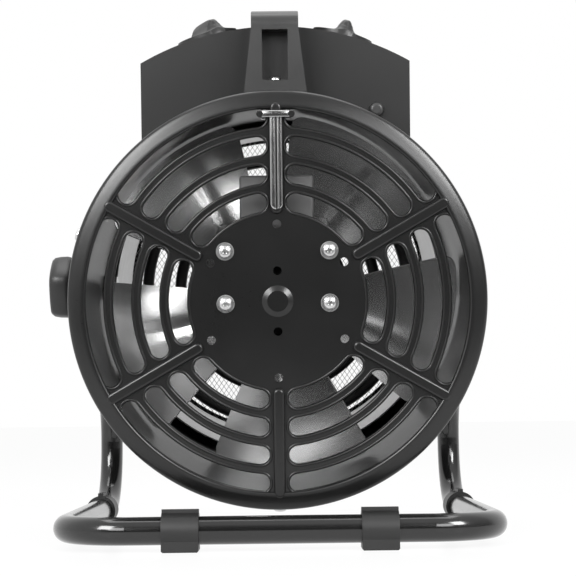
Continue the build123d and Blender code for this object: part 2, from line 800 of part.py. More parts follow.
body_top = box_top_radius - box_wall - control_setback
for name, sign in (("thermostat", -1), ("switch", 1)):
    with BuildPart() as control_body_piece:
        with BuildSketch(control_plane(sign, body_top)):
            RectangleRounded(control_body, control_body, control_corner)
        extrude(amount=-control_depth)
        with BuildSketch(control_plane(sign, body_top)):
            Circle(neck_radius)
        extrude(amount=box_wall + control_setback)
        with BuildSketch(control_plane(sign, body_top)):
            Circle(control_shaft + running_gap)
        extrude(amount=box_wall + control_setback, mode=Mode.SUBTRACT)
        with BuildSketch(control_plane(sign, body_top)):
            Circle(control_shaft + running_gap)
        extrude(amount=-control_depth / 2, mode=Mode.SUBTRACT)
    keep(control_body_piece, f"{name}_body", drum_place)

    knob_base = box_top_radius + knob_seat_gap
    with BuildPart() as control_shaft_piece:
        with BuildSketch(control_plane(sign, body_top - control_depth / 2 + side_gap)):
            Circle(control_shaft)
        extrude(amount=box_top_radius - body_top + control_depth / 2 + knob_height * knob_bore_share)
    keep(control_shaft_piece, f"{name}_shaft", drum_place)

    grip_turn = 52.0 if name == "thermostat" else 4.0
    with BuildPart() as knob:
        with BuildSketch(control_plane(sign, knob_base)):
            Circle(knob_radius)
        extrude(amount=knob_skirt, taper=18)
        fillet(knob.edges().filter_by(GeomType.CIRCLE).group_by(SortBy.RADIUS)[0], knob_edge)
        with BuildSketch(control_plane(sign, knob_base)):
            SlotOverall(grip_reach, grip_width + grip_foot, rotation=grip_turn)
        extrude(amount=knob_height, taper=5)
        top_face = knob.faces().sort_by(Axis(control_plane(sign, 0).origin, control_plane(sign, 0).z_dir))[-1]
        fillet(top_face.edges(), grip_edge)
        with BuildSketch(control_plane(sign, knob_base)):
            Circle(control_shaft + running_gap)
        extrude(amount=knob_height * knob_bore_share + side_gap, mode=Mode.SUBTRACT)
    keep(knob, f"{name}_knob", drum_place)

with BuildPart() as reset_button:
    with BuildSketch(Plane.XZ.offset(-box_rear + reset_stand)):
        with Locations((reset_x, reset_z)):
            Circle(reset_radius)
    extrude(amount=-(reset_stand + box_wall + reset_stem))
    fillet(reset_button.faces().sort_by(Axis.Y)[0].edges(), 2.5)
keep(reset_button, "reset_button", drum_place)

with BuildPart() as thermal_cutout:
    with BuildSketch(Plane.XZ.offset(-box_rear - box_wall)):
        with Locations((reset_x, reset_z + cutout_rise)):
            RectangleRounded(cutout_width, cutout_height, 2)
        Circle(drum_radius + side_gap, mode=Mode.SUBTRACT)
    extrude(amount=-cutout_depth)
    with BuildSketch(Plane.XZ.offset(-box_rear - box_wall)):
        with Locations((reset_x, reset_z)):
            Circle(reset_radius + side_gap)
    extrude(amount=-(reset_stem + 2 * reset_travel), mode=Mode.SUBTRACT)
keep(thermal_cutout, "thermal_cutout", drum_place)

with BuildPart() as terminal_block:
    with BuildSketch(Plane.XZ.offset(-box_front + box_wall)):
        with Locations((0, drum_radius + terminal_over_drum)):
            Rectangle(terminal_width, terminal_height)
    extrude(amount=terminal_depth)
keep(terminal_block, "terminal_block", drum_place)

# ---------------------------------------------------------------- handle
handle_middle = (handle_near + handle_far) / 2
foot_level = drum_radius - handle_foot_depth
with BuildPart() as handle:
    with BuildSketch(Plane.YZ):
        with BuildLine():
            outer_left = Line((handle_near, foot_level), (handle_near, handle_shoulder))
            crown = ThreePointArc(
                (handle_near, handle_shoulder), (handle_middle, handle_crown), (handle_far, handle_shoulder)
            )
            outer_right = Line((handle_far, handle_shoulder), (handle_far, foot_level))
            Line((handle_far, foot_level), (handle_far - handle_leg, foot_level))
            Line((handle_far - handle_leg, foot_level), (handle_far - handle_leg, bar_underside))
            ThreePointArc(
                (handle_far - handle_leg, bar_underside),
                (handle_middle, handle_crown - handle_thickness),
                (handle_near + handle_leg, bar_underside),
            )
            Line((handle_near + handle_leg, bar_underside), (handle_near + handle_leg, foot_level))
            Line((handle_near + handle_leg, foot_level), (handle_near, foot_level))
        make_face()
    extrude(amount=handle_base_width / 2, both=True)
    corners = handle.edges().filter_by(Axis.X).group_by(Axis.Z)[-1]
    fillet(corners, handle_corner)
    with BuildSketch(Plane.XZ.offset(-handle_far)):
        with BuildLine():
            Polyline(
                (-handle_base_width / 2, 0),
                (-handle_base_width / 2, drum_radius),
                (-handle_top_width / 2, handle_shoulder - handle_thickness),
                (-handle_top_width / 2, handle_crown + handle_thickness),
                (handle_top_width / 2, handle_crown + handle_thickness),
                (handle_top_width / 2, handle_shoulder - handle_thickness),
                (handle_base_width / 2, drum_radius),
                (handle_base_width / 2, 0),
                close=True,
            )
        make_face()
    extrude(amount=handle_far - handle_near, mode=Mode.INTERSECT)
    channel_middle = (channel_floor + channel_top) / 2
    for face, into in ((handle_near, -channel_depth), (handle_far - channel_depth, -channel_depth)):
        with BuildSketch(Plane.XZ.offset(-face)):
            with Locations((0, channel_middle)):
                Rectangle(channel_width, channel_top - channel_floor)
        extrude(amount=into, mode=Mode.SUBTRACT)
    with BuildSketch(Plane.XY):
        with Locations(*handle_screw_line):
            Circle(handle_screw_radius + bolt_clearance)
    extrude(amount=channel_floor, mode=Mode.SUBTRACT)
    Cylinder(drum_radius, drum_length, rotation=(90, 0, 0), mode=Mode.SUBTRACT)
keep(handle, "handle", drum_place)

with BuildPart() as handle_screws:
    with BuildSketch(Plane.XY.offset(channel_floor)):
        with Locations(*handle_screw_line):
            Circle(handle_screw_head)
    extrude(amount=handle_screw_height)
    fillet(handle_screws.faces().group_by(Axis.Z)[-1].edges(), 1.2)
    with BuildSketch(Plane.XY.offset(channel_floor)):
        with Locations(*handle_screw_line):
            Circle(handle_screw_radius)
    extrude(amount=-(channel_floor - drum_radius + sheet + handle_screw_tip))
keep(handle_screws, "handle_screws", drum_place)

with BuildPart() as handle_nuts:
    for spot, depth in zip(handle_screw_line, handle_nut_depths):
        with BuildSketch(Plane.XY.offset(drum_radius - sheet - depth)):
            with Locations(spot):
                Rectangle(handle_nut_width, handle_nut_length)
                Circle(handle_screw_radius + running_gap, mode=Mode.SUBTRACT)
        extrude(amount=2 * depth)
    Cylinder(drum_radius - sheet, 2 * drum_length, rotation=(90, 0, 0), mode=Mode.INTERSECT)
keep(handle_nuts, "handle_nuts", drum_place)

# ---------------------------------------------------------------- common frame
# The origin is the centre of the footprint's box on the floor.
boxes = [solid.bounding_box() for solid in pieces.values()]
low = Vector(*(min(getattr(box.min, axis) for box in boxes) for axis in "XYZ"))
high = Vector(*(max(getattr(box.max, axis) for box in boxes) for axis in "XYZ"))
middle = (low + high) / 2
floor_shift = Location((-middle.X, -middle.Y, -low.Z))

os.makedirs("parts", exist_ok=True)
for name, solid in pieces.items():
    placed = solid.moved(floor_shift)
    placed.label = name
    export_step(placed, f"parts/{name}.step")
print("pieces", len(pieces), "size", high - low)
print("floor shift", floor_shift.position)
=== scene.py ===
import bpy
import bmesh
import json
import math
from mathutils import Matrix, Vector


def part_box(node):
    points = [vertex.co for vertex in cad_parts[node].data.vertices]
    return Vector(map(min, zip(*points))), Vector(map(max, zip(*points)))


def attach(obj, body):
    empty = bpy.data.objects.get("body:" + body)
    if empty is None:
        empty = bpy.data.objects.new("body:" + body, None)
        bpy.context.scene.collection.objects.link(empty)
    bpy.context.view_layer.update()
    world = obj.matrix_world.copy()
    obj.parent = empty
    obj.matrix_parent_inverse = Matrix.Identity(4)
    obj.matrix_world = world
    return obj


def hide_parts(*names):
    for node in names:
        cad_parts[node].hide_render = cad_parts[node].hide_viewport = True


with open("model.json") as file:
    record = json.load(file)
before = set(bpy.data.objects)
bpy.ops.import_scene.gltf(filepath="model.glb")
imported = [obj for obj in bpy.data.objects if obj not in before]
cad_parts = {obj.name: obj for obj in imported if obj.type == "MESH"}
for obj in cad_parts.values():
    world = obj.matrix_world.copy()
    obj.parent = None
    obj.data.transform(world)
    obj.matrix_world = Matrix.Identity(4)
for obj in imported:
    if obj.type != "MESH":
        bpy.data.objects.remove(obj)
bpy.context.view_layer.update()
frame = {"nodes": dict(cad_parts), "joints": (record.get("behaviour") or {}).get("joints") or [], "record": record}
nodes = frame["nodes"]
mm = 0.001
scene = bpy.context.scene
scene.view_settings.view_transform = "Standard"
print("model loaded:", len(nodes), "nodes")


class Value:
    # a socket of a node tree that adds, multiplies and so on
    def __init__(self, graph, socket):
        self.graph = graph
        self.socket = socket

    def math(self, operation, *others):
        inputs = {index + 1: other for index, other in enumerate(others)}
        return self.graph.node("ShaderNodeMath", {"operation": operation}, {0: self, **inputs})

    def __add__(self, other):
        return self.math("ADD", other)

    def __mul__(self, other):
        return self.math("MULTIPLY", other)

    def __sub__(self, other):
        return self.math("SUBTRACT", other)

    def __rsub__(self, other):
        return self.graph.node("ShaderNodeMath", {"operation": "SUBTRACT"}, {0: other, 1: self})

    def clamped(self):
        return self.graph.node("ShaderNodeClamp", {}, {0: self})

    def between(self, low, high):  # 0 below low, 1 above high, smooth on the way
        return self.graph.node(
            "ShaderNodeMapRange",
            {"interpolation_type": "SMOOTHSTEP"},
            {"Value": self, "From Min": low, "From Max": high},
        )

    __radd__ = __add__
    __rmul__ = __mul__


class Graph:
    # builds the nodes of one material or world
    def __init__(self, tree):
        self.tree = tree
        tree.nodes.clear()

    def node(self, kind, settings, inputs, output=0):
        made = self.tree.nodes.new(kind)
        for name, setting in settings.items():
            setattr(made, name, setting)
        for name, value in inputs.items():
            if isinstance(value, Value):
                self.tree.links.new(value.socket, made.inputs[name])
            else:
                made.inputs[name].default_value = value
        return Value(self, made.outputs[output])

    def place(self, scale=(1, 1, 1)):  # object coordinates, stretched
        where = self.node("ShaderNodeTexCoord", {}, {}, "Object")
        return self.node("ShaderNodeMapping", {}, {"Vector": where, "Scale": scale})

    def noise(self, where, scale, detail=3.0, roughness=0.55):
        return self.node(
            "ShaderNodeTexNoise", {}, {"Vector": where, "Scale": scale, "Detail": detail, "Roughness": roughness}
        )

    def shades(self, factor, dark, light):  # a colour between two, by a factor
        mix = self.tree.nodes.new("ShaderNodeMix")
        mix.data_type = "RGBA"
        self.tree.links.new(factor.socket, mix.inputs["Factor"])
        colours = [socket for socket in mix.inputs if socket.type == "RGBA"]
        colours[0].default_value = (*dark, 1)
        colours[1].default_value = (*light, 1)
        return Value(self, [socket for socket in mix.outputs if socket.type == "RGBA"][0])

    def rays(self, kind):
        return self.node("ShaderNodeLightPath", {}, {}, kind)

    def bump(self, height, strength, distance):
        return self.node(
            "ShaderNodeBump", {}, {"Height": height, "Strength": strength, "Distance": distance}
        )

    def finishSurface(self, **sockets):
        names = {
            "colour": "Base Color",
            "roughness": "Roughness",
            "metallic": "Metallic",
            "coat": "Coat Weight",
            "coatRoughness": "Coat Roughness",
            "normal": "Normal",
            "level": "Specular IOR Level",
        }
        surface = self.node("ShaderNodeBsdfPrincipled", {}, {names[key]: value for key, value in sockets.items()})
        out = self.tree.nodes.new("ShaderNodeOutputMaterial")
        self.tree.links.new(surface.socket, out.inputs["Surface"])


def newFinish(name):
    material = bpy.data.materials.new(name)
    material.use_nodes = True
    return material, Graph(material.node_tree)


def grey(level):
    return (level, level, level)


paintGrain = {"smudge": 14.0, "dust": 2400.0, "dustEdge": (0.66, 0.78), "bump": 0.35, "coatRoughness": 0.06}
plasticGrain = {"wear": 35.0, "bump": 0.5}
sheetPaint = {"dark": 0.0040, "light": 0.0062, "roughness": 0.30, "peel": 620.0, "peelDepth": 0.00003}
tubePaint = {"dark": 0.005, "light": 0.0075, "roughness": 0.17, "peel": 380.0, "peelDepth": 0.00002}
moulding = {"dark": 0.006, "light": 0.010, "roughness": 0.46, "grain": 2600.0, "grainDepth": 0.00005}
knobPlastic = {"dark": 0.010, "light": 0.014, "roughness": 0.40, "grain": 3200.0, "grainDepth": 0.00002}
zincPlate = {"dark": 0.50, "light": 0.80, "roughness": 0.30, "patch": 160.0, "haze": 1100.0}
# a bright metal that paints the highlight of the glossy top rib and its clip
ribHighlightMetal = {"dark": 0.42, "light": 0.52, "roughness": 0.20, "cloud": 60.0, "metallic": 1.0}
bladeSheet = {"dark": 0.80, "light": 0.92, "roughness": 0.25, "cloud": 30.0, "metallic": 0.85}
turned = {"dark": 0.38, "light": 0.55, "roughness": 0.32, "brush": 900.0, "cloud": 22.0}
galvanised = {"dark": 0.34, "light": 0.52, "roughness": 0.38, "spangle": 90.0, "haze": 500.0}
sheathMetal = {"dark": 0.05, "light": 0.14, "roughness": 0.5, "scale": 260.0, "bloom": 18.0}
greyCase = {"dark": 0.10, "light": 0.125, "roughness": 0.5}
corePlates = {"dark": 0.12, "light": 0.30, "roughness": 0.5, "plates": 2000.0, "rust": 120.0}


def paintedMetal(name, look, coat=0.0):
    material, graph = newFinish(name)
    where = graph.place()
    smudge = graph.noise(where, paintGrain["smudge"], 4.0)
    peel = graph.noise(where, look["peel"], 2.0)
    dust = graph.noise(where, paintGrain["dust"], 1.0).between(*paintGrain["dustEdge"])
    lift = (smudge * 0.8 + dust * 0.5).clamped()
    graph.finishSurface(
        colour=graph.shades(lift, grey(look["dark"]), grey(look["light"])),
        roughness=look["roughness"] + (smudge - 0.5) * 0.10 + (peel - 0.5) * 0.06,
        coat=coat,
        coatRoughness=paintGrain["coatRoughness"],
        normal=graph.bump(peel, paintGrain["bump"], look["peelDepth"]),
    )
    return material


def mouldedPlastic(name, look):
    material, graph = newFinish(name)
    where = graph.place()
    grain = graph.noise(where, look["grain"], 2.0, 0.6)
    wear = graph.noise(where, plasticGrain["wear"], 3.0)
    graph.finishSurface(
        colour=graph.shades(wear, grey(look["dark"]), grey(look["light"])),
        roughness=look["roughness"] + (wear - 0.5) * 0.14 + (grain - 0.5) * 0.10,
        normal=graph.bump(grain, plasticGrain["bump"], look["grainDepth"]),
    )
    return material


def platedMetal(name, look):
    material, graph = newFinish(name)
    where = graph.place()
    patch = graph.noise(where, look["patch"], 3.0)
    haze = graph.noise(where, look["haze"], 2.0)
    graph.finishSurface(
        colour=graph.shades(patch, grey(look["dark"]), grey(look["light"])),
        roughness=look["roughness"] + (patch - 0.5) * 0.16 + (haze - 0.5) * 0.06,
        metallic=1.0,
        normal=graph.bump(haze, 0.2, 0.00002),
    )
    return material


def satinMetal(name, look):
    material, graph = newFinish(name)
    cloud = graph.noise(graph.place(), look["cloud"], 2.0)
    graph.finishSurface(
        colour=graph.shades(cloud, grey(look["dark"]), grey(look["light"])),
        roughness=look["roughness"] + (cloud - 0.5) * 0.06,
        metallic=look["metallic"],
    )
    return material


def brushedMetal(name, look, stretch):
    material, graph = newFinish(name)
    lines = graph.noise(graph.place(stretch), look["brush"], 2.0)
    cloud = graph.noise(graph.place(), look["cloud"], 3.0)
    graph.finishSurface(
        colour=graph.shades((lines * 0.3 + cloud * 0.7).clamped(), grey(look["dark"]), grey(look["light"])),
        roughness=look["roughness"] + (cloud - 0.5) * 0.08 + (lines - 0.5) * 0.02,
        metallic=1.0,
        normal=graph.bump(lines, 0.03, 0.00001),
    )
    return material


def spangledSheet(name, look):
    material, graph = newFinish(name)
    where = graph.place()
    crystal = graph.node(
        "ShaderNodeTexVoronoi", {"feature": "F1"}, {"Vector": where, "Scale": look["spangle"]}, "Color"
    )
    crystal = graph.node("ShaderNodeSeparateColor", {}, {0: crystal}, "Red")
    haze = graph.noise(where, look["haze"], 3.0)
    graph.finishSurface(
        colour=graph.shades(crystal, grey(look["dark"]), grey(look["light"])),
        roughness=look["roughness"] + (crystal - 0.5) * 0.18 + (haze - 0.5) * 0.06,
        metallic=1.0,
        normal=graph.bump(crystal, 0.15, 0.00003),
    )
    return material


def heatedSheath(name, look):
    material, graph = newFinish(name)
    where = graph.place()
    scale = graph.noise(where, look["scale"], 4.0)
    bloom = graph.noise(where, look["bloom"], 2.0)
    graph.finishSurface(
        colour=graph.shades((bloom * 0.7 + scale * 0.3).clamped(), grey(look["dark"]), grey(look["light"])),
        roughness=look["roughness"] + (scale - 0.5) * 0.25,
        metallic=0.85,
        normal=graph.bump(scale, 0.3, 0.00005),
    )
    return material


def stackedPlates(name, look):
    material, graph = newFinish(name)
    edge = graph.node(
        "ShaderNodeTexWave",
        {"wave_type": "BANDS", "bands_direction": "Y"},
        {"Vector": graph.place(), "Scale": look["plates"]},
    )
    rust = graph.noise(graph.place(), look["rust"], 3.0)
    graph.finishSurface(
        colour=graph.shades((edge * 0.6 + rust * 0.4).clamped(), grey(look["dark"]), grey(look["light"])),
        roughness=look["roughness"] + (rust - 0.5) * 0.2,
        metallic=0.8,
        normal=graph.bump(edge, 0.4, 0.0001),
    )
    return material


finishes = {
    "satin_black_sheet": paintedMetal("satinBlackSheet", sheetPaint),
    "gloss_black_tube": paintedMetal("glossBlackTube", tubePaint, coat=0.35),
    "black_moulding": mouldedPlastic("blackMoulding", moulding),
    "black_knob": mouldedPlastic("blackKnob", knobPlastic),
    "reset_cap": mouldedPlastic("resetCap", {**knobPlastic, "dark": 0.02, "light": 0.03}),
    "zinc_plate": platedMetal("zincPlate", zincPlate),
    "blade_aluminium": satinMetal("bladeAluminium", bladeSheet),
    "turned_steel": brushedMetal("turnedSteel", turned, (1, 0.1, 1)),
    "motor_casting": paintedMetal("motorPaint", {**sheetPaint, "roughness": 0.5}),
    "stator_core": stackedPlates("statorCore", corePlates),
    "grey_case": mouldedPlastic("greyCase", {**moulding, **greyCase}),
    "galvanised_sheet": spangledSheet("galvanisedSheet", galvanised),
    "element_sheath": heatedSheath("elementSheath", sheathMetal),
}
slotOf = {part["node"]: part["material_slot"] for part in frame["record"]["subparts"]}
for name, node in nodes.items():
    node.data.materials.clear()
    node.data.materials.append(finishes[slotOf[name]])
# the box and the handle are a shade lighter than the drum
boxPaint = {"dark": 0.0085, "light": 0.012, "roughness": 0.36, "peel": 620.0, "peelDepth": 0.00003}
handlePlastic = {"dark": 0.018, "light": 0.027, "roughness": 0.40, "grain": 2600.0, "grainDepth": 0.00005}
nodes["control_box"].data.materials[0] = paintedMetal("boxPaint", boxPaint)
nodes["handle"].data.materials[0] = mouldedPlastic("handlePlastic", handlePlastic)
print("finishes:", len(finishes))


joints = {joint["name"]: joint for joint in frame["joints"]}
drumAxis = Vector(joints["fan_spin"]["axis"]).normalized()
fanCentre = Vector(joints["fan_spin"]["pos_m"])
drumTilt = math.atan2(drumAxis.z, drumAxis.y)
drumTurn = Matrix.Rotation(drumTilt, 4, "X")
outwards = -drumAxis  # towards the intake side
fanAlong = -56.0  # the fan's plane along the drum, in millimetres from the drum's middle


def drumPoint(x, along, z):  # a place in the drum's own directions, in millimetres
    return fanCentre + drumTurn @ (Vector((x, along - fanAlong, z)) * mm)


def drumFrame(along=0.0, rearward=False):  # stands a lathed shape on the drum's axis
    quarter = math.pi / 2 if rearward else -math.pi / 2
    return Matrix.Translation(drumPoint(0, along, 0)) @ drumTurn @ Matrix.Rotation(quarter, 4, "X")


def fromAxis(place):  # the part of a place that lies across the drum's axis
    offset = place - fanCentre
    return offset - drumAxis * offset.dot(drumAxis)


def keepMesh(name, mesh, finish, body, replaced=(), smooth=40):
    # a finished piece: its place is in its mesh and it rides on a body
    piece = bpy.data.objects.new(name, mesh)
    scene.collection.objects.link(piece)
    mesh.materials.clear()
    mesh.materials.append(finishes[finish])
    mesh.shade_smooth()
    mesh.set_sharp_from_angle(angle=math.radians(smooth))
    if replaced:
        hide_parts(*replaced)
    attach(piece, body)
    return piece


def meshOf(build):
    mesh = bpy.data.meshes.new("mesh")
    build.to_mesh(mesh)
    build.free()
    return mesh


class Tree:
    # a geometry tree with named inputs
    def __init__(self, name, **sizes):
        self.group = bpy.data.node_groups.new(name, "GeometryNodeTree")
        self.group.interface.new_socket("Geometry", in_out="INPUT", socket_type="NodeSocketGeometry")
        self.group.interface.new_socket("Geometry", in_out="OUTPUT", socket_type="NodeSocketGeometry")
        self.kinds = {}
        for size, value in sizes.items():
            kind = {int: "NodeSocketInt", float: "NodeSocketFloat"}.get(type(value), "NodeSocketObject")
            socket = self.group.interface.new_socket(size, in_out="INPUT", socket_type=kind)
            self.kinds[size] = (socket.identifier, value)
        self.start = self.group.nodes.new("NodeGroupInput")
        self.end = self.group.nodes.new("NodeGroupOutput")

    def given(self, name):
        return self.start.outputs[name]

    def node(self, kind, settings, inputs, output=0):
        made = self.group.nodes.new(kind)
        for name, setting in settings.items():
            setattr(made, name, setting)
        for name, value in inputs.items():
            if isinstance(value, bpy.types.NodeSocket):
                self.group.links.new(value, made.inputs[name])
            else:
                made.inputs[name].default_value = value
        return made.outputs[output]

    def math(self, operation, *values):
        return self.node("ShaderNodeMath", {"operation": operation}, dict(enumerate(values)))

    def patternIn(self):  # the object given as Pattern, as one instance
        given = {"Object": self.given("Pattern"), "As Instance": True}
        return self.node("GeometryNodeObjectInfo", {}, given, "Geometry")

    def copiesOn(self, points, instance, turned):
        given = {"Points": points, "Instance": instance, "Rotation": turned}
        return self.node("GeometryNodeInstanceOnPoints", {}, given)

    def run(self, geometry, finish, base):
        # realises the tree on a base mesh and gives back a plain mesh
        whole = self.node("GeometryNodeRealizeInstances", {}, {0: geometry})
        coated = self.node("GeometryNodeSetMaterial", {}, {"Geometry": whole, "Material": finishes[finish]})
        self.group.links.new(coated, self.end.inputs[0])
        carrier = bpy.data.objects.new("carrier", base)
        scene.collection.objects.link(carrier)
        modifier = carrier.modifiers.new("tree", "NODES")
        modifier.node_group = self.group
        for identifier, value in self.kinds.values():
            modifier[identifier] = value
        bpy.context.view_layer.update()
        ready = carrier.evaluated_get(bpy.context.evaluated_depsgraph_get())
        mesh = bpy.data.meshes.new_from_object(ready)
        bpy.data.objects.remove(carrier)
        return mesh


def pointMesh(places, facings):
    mesh = bpy.data.meshes.new("places")
    mesh.from_pydata([tuple(place) for place in places], [], [])
    facing = mesh.attributes.new("facing", "FLOAT_VECTOR", "POINT")
    for index, direction in enumerate(facings):
        facing.data[index].vector = direction
    return mesh


def repeatOn(name, pattern, places, facings, finish, turn=0.0):
    # one pattern mesh on every place, its Z along that place's facing
    holder = bpy.data.objects.new(name + "Pattern", pattern)
    scene.collection.objects.link(holder)
    tree = Tree(name, Pattern=holder, Turn=float(turn))
    pieceIn = tree.patternIn()
    facing = tree.node("GeometryNodeInputNamedAttribute", {"data_type": "FLOAT_VECTOR"}, {"Name": "facing"})
    aligned = tree.node("FunctionNodeAlignRotationToVector", {"axis": "Z"}, {"Vector": facing})
    spin = tree.node("ShaderNodeCombineXYZ", {}, {"Z": tree.given("Turn")})
    turned = tree.node(
        "FunctionNodeRotateRotation", {"rotation_space": "LOCAL"}, {"Rotation": aligned, "Rotate By": spin}
    )
    points = tree.node("GeometryNodeMeshToPoints", {}, {"Mesh": tree.given("Geometry")})
    mesh = tree.run(tree.copiesOn(points, pieceIn, turned), finish, pointMesh(places, facings))
    bpy.data.objects.remove(holder)
    return mesh


def wheelOf(name, pattern, count, first, finish):
    # copies of a pattern, turned about the drum's own axis
    holder = bpy.data.objects.new(name + "Pattern", pattern)
    scene.collection.objects.link(holder)
    tree = Tree(name, Pattern=holder, Count=int(count), First=math.radians(first))
    pieceIn = tree.patternIn()
    line = tree.node("GeometryNodeMeshLine", {}, {"Count": tree.given("Count"), "Offset": (0, 0, 0)})
    index = tree.node("GeometryNodeInputIndex", {}, {})
    step = tree.math("DIVIDE", 2 * math.pi, tree.given("Count"))
    angle = tree.math("ADD", tree.math("MULTIPLY", index, step), tree.given("First"))
    euler = tree.node("ShaderNodeCombineXYZ", {}, {"Y": angle})
    turned = tree.node("FunctionNodeEulerToRotation", {}, {"Euler": euler})
    mesh = tree.run(tree.copiesOn(line, pieceIn, turned), finish, bpy.data.meshes.new("empty"))
    bpy.data.objects.remove(holder)
    return mesh


def lathe(profile, steps=48, closed=False):
    # turns (radius, height) points about Z into a bmesh with outward faces
    build = bmesh.new()
    rings = []
    for radius, height in profile:
        if radius < 1e-7:
            rings.append([build.verts.new((0, 0, height))])
        else:
            rings.append(
                [
                    build.verts.new((radius * math.cos(a), radius * math.sin(a), height))
                    for a in (2 * math.pi * step / steps for step in range(steps))
                ]
            )
    pairs = list(zip(rings, rings[1:])) + ([(rings[-1], rings[0])] if closed else [])
    for lower, upper in pairs:
        for step in range(steps):
            after = (step + 1) % steps
            around = ((lower, step), (lower, after), (upper, after), (upper, step))
            corners = [ring[at % len(ring)] for ring, at in around]
            unique = list(dict.fromkeys(corners))
            if len(unique) > 2:
                build.faces.new(unique)
    bmesh.ops.recalc_face_normals(build, faces=build.faces)
    return build


# shank: (radius, length); seat: how far from the drum's axis; shownBelow: the rim's top has no head
panHead = {"radius": 4.6, "height": 3.0, "shank": (2.5, 17.8)}
rimHead = {"radius": 4.4, "height": 2.2, "shank": (1.8, 6.0), "seat": 144.6, "shownBelow": 0.9}
handleHead = {"radius": 4.2, "height": 2.8, "shank": (2.0, 21.5), "seat": 153.7, "shownBelow": 2.0}
crossRecess = {"forRadius": 4.6, "reach": 2.5, "width": 1.05, "depth": 1.7, "taper": 0.55}
flatWasher = {"outer": 6.2, "inner": 2.7, "thickness": 1.0, "edge": 0.25}


def crossHead(look):
    # a domed head with a cross recess, standing on Z = 0, over its shank
    radius, height = look["radius"], look["height"]
    rim = [(0, 0), (radius * 0.93, 0), (radius, height * 0.14), (radius * 0.98, height * 0.42)]
    rises = [math.radians(angle) for angle in (30, 45, 60, 75)]
    dome = [(radius * math.cos(a), height * (0.42 + 0.58 * math.sin(a))) for a in rises]
    build = lathe([(r * mm, h * mm) for r, h in rim + dome + [(0, height)]], 40)
    head = meshOf(build)
    cutter = bmesh.new()
    scaleBy = radius / crossRecess["forRadius"]
    long, wide = crossRecess["reach"] * 2 * scaleBy * mm, crossRecess["width"] * scaleBy * mm
    deep = crossRecess["depth"] * 2 * mm
    for quarter in range(2):
        arms = bmesh.ops.create_cube(cutter, size=1.0)["verts"]
        for vertex in arms:
            narrow = crossRecess["taper"] if vertex.co.z < 0 else 1.0
            x, y, z = vertex.co
            vertex.co = Vector((x * long * narrow, y * wide * narrow, z * deep + height * mm))
        bmesh.ops.rotate(cutter, verts=arms, cent=(0, 0, 0), matrix=Matrix.Rotation(quarter * math.pi / 2, 3, "Z"))
    bmesh.ops.recalc_face_normals(cutter, faces=cutter.faces)
    headObject = bpy.data.objects.new("head", head)
    cutObject = bpy.data.objects.new("cut", meshOf(cutter))
    for each in (headObject, cutObject):
        scene.collection.objects.link(each)
    cut = headObject.modifiers.new("recess", "BOOLEAN")
    cut.operation, cut.solver, cut.use_self, cut.object = "DIFFERENCE", "EXACT", True, cutObject
    bpy.context.view_layer.update()
    result = bpy.data.meshes.new_from_object(headObject.evaluated_get(bpy.context.evaluated_depsgraph_get()))
    bpy.data.objects.remove(headObject)
    bpy.data.objects.remove(cutObject)
    thick, length = look["shank"]
    stemSection = [(0, -length), (thick * 0.8, -length), (thick, 1 - length), (thick, -0.02), (0, -0.02)]
    stem = lathe([(r * mm, h * mm) for r, h in stemSection], 20)
    stem.from_mesh(result)
    return meshOf(stem)


def separateSolids(name):
    # the corners of each separate solid of a node, always in the same order
    mesh = bmesh.new()
    mesh.from_mesh(nodes[name].data)
    bmesh.ops.remove_doubles(mesh, verts=mesh.verts, dist=1e-6)
    mesh.verts.index_update()
    seen, found = set(), []
    for start in mesh.verts:
        corners, queue = [], [start]
        while queue:
            vertex = queue.pop()
            if vertex.index in seen:
                continue
            seen.add(vertex.index)
            corners.append(vertex.co.copy())
            queue += [edge.other_vert(vertex) for edge in vertex.link_edges]
        if corners:
            found.append(corners)
    mesh.free()
    return found


def endAlong(corners, direction):
    # the middle of a solid, moved to its furthest reach along a direction
    low = Vector([min(corner[axis] for corner in corners) for axis in range(3)])
    high = Vector([max(corner[axis] for corner in corners) for axis in range(3)])
    middle = (low + high) / 2
    reach = max((corner - middle).dot(direction) for corner in corners)
    return middle + direction * reach


washerTops = [endAlong(corners, outwards) for corners in separateSolids("motor_washers")]
washerBases = [top - outwards * flatWasher["thickness"] * mm for top in washerTops]
washerProfile = [
    (flatWasher["inner"], 0), (flatWasher["outer"] - flatWasher["edge"], 0), (flatWasher["outer"], flatWasher["edge"]),
    (flatWasher["outer"], flatWasher["thickness"] - flatWasher["edge"]),
    (flatWasher["outer"] - flatWasher["edge"], flatWasher["thickness"]), (flatWasher["inner"], flatWasher["thickness"]),
]
washerMesh = meshOf(lathe([(r * mm, h * mm) for r, h in washerProfile], 48, closed=True))
keepMesh(
    "motorWasherSet",
    repeatOn("motorWashers", washerMesh, washerBases, [outwards] * 4, "zinc_plate"),
    "zinc_plate", "drum", ("motor_washers",),
)
keepMesh(
    "motorScrewHeads",
    repeatOn(
        "motorScrews", crossHead(panHead),
        [top + outwards * 0.05 * mm for top in washerTops], [outwards] * 4, "zinc_plate", 0.7,
    ),
    "zinc_plate", "drum", ("motor_bolts",),
)

def radialScrews(name, node, look):
    # cross heads that stand out from the drum's axis, one on each screw of a node
    middles = [sum(corners, Vector()) / len(corners) for corners in separateSolids(node)]
    facings = [fromAxis(middle).normalized() for middle in middles]
    seats = [middle - fromAxis(middle) + facing * look["seat"] * mm for middle, facing in zip(middles, facings)]
    shown = [(seat, facing) for seat, facing in zip(seats, facings) if facing.z < look["shownBelow"]]
    mesh = repeatOn(name, crossHead(look), [each[0] for each in shown], [each[1] for each in shown], "zinc_plate", 0.3)
    keepMesh(name, mesh, "zinc_plate", "drum", (node,))


radialScrews("rimScrewHeads", "rim_screws", rimHead)
radialScrews("handleScrewHeads", "handle_screws", handleHead)
print("screws made")

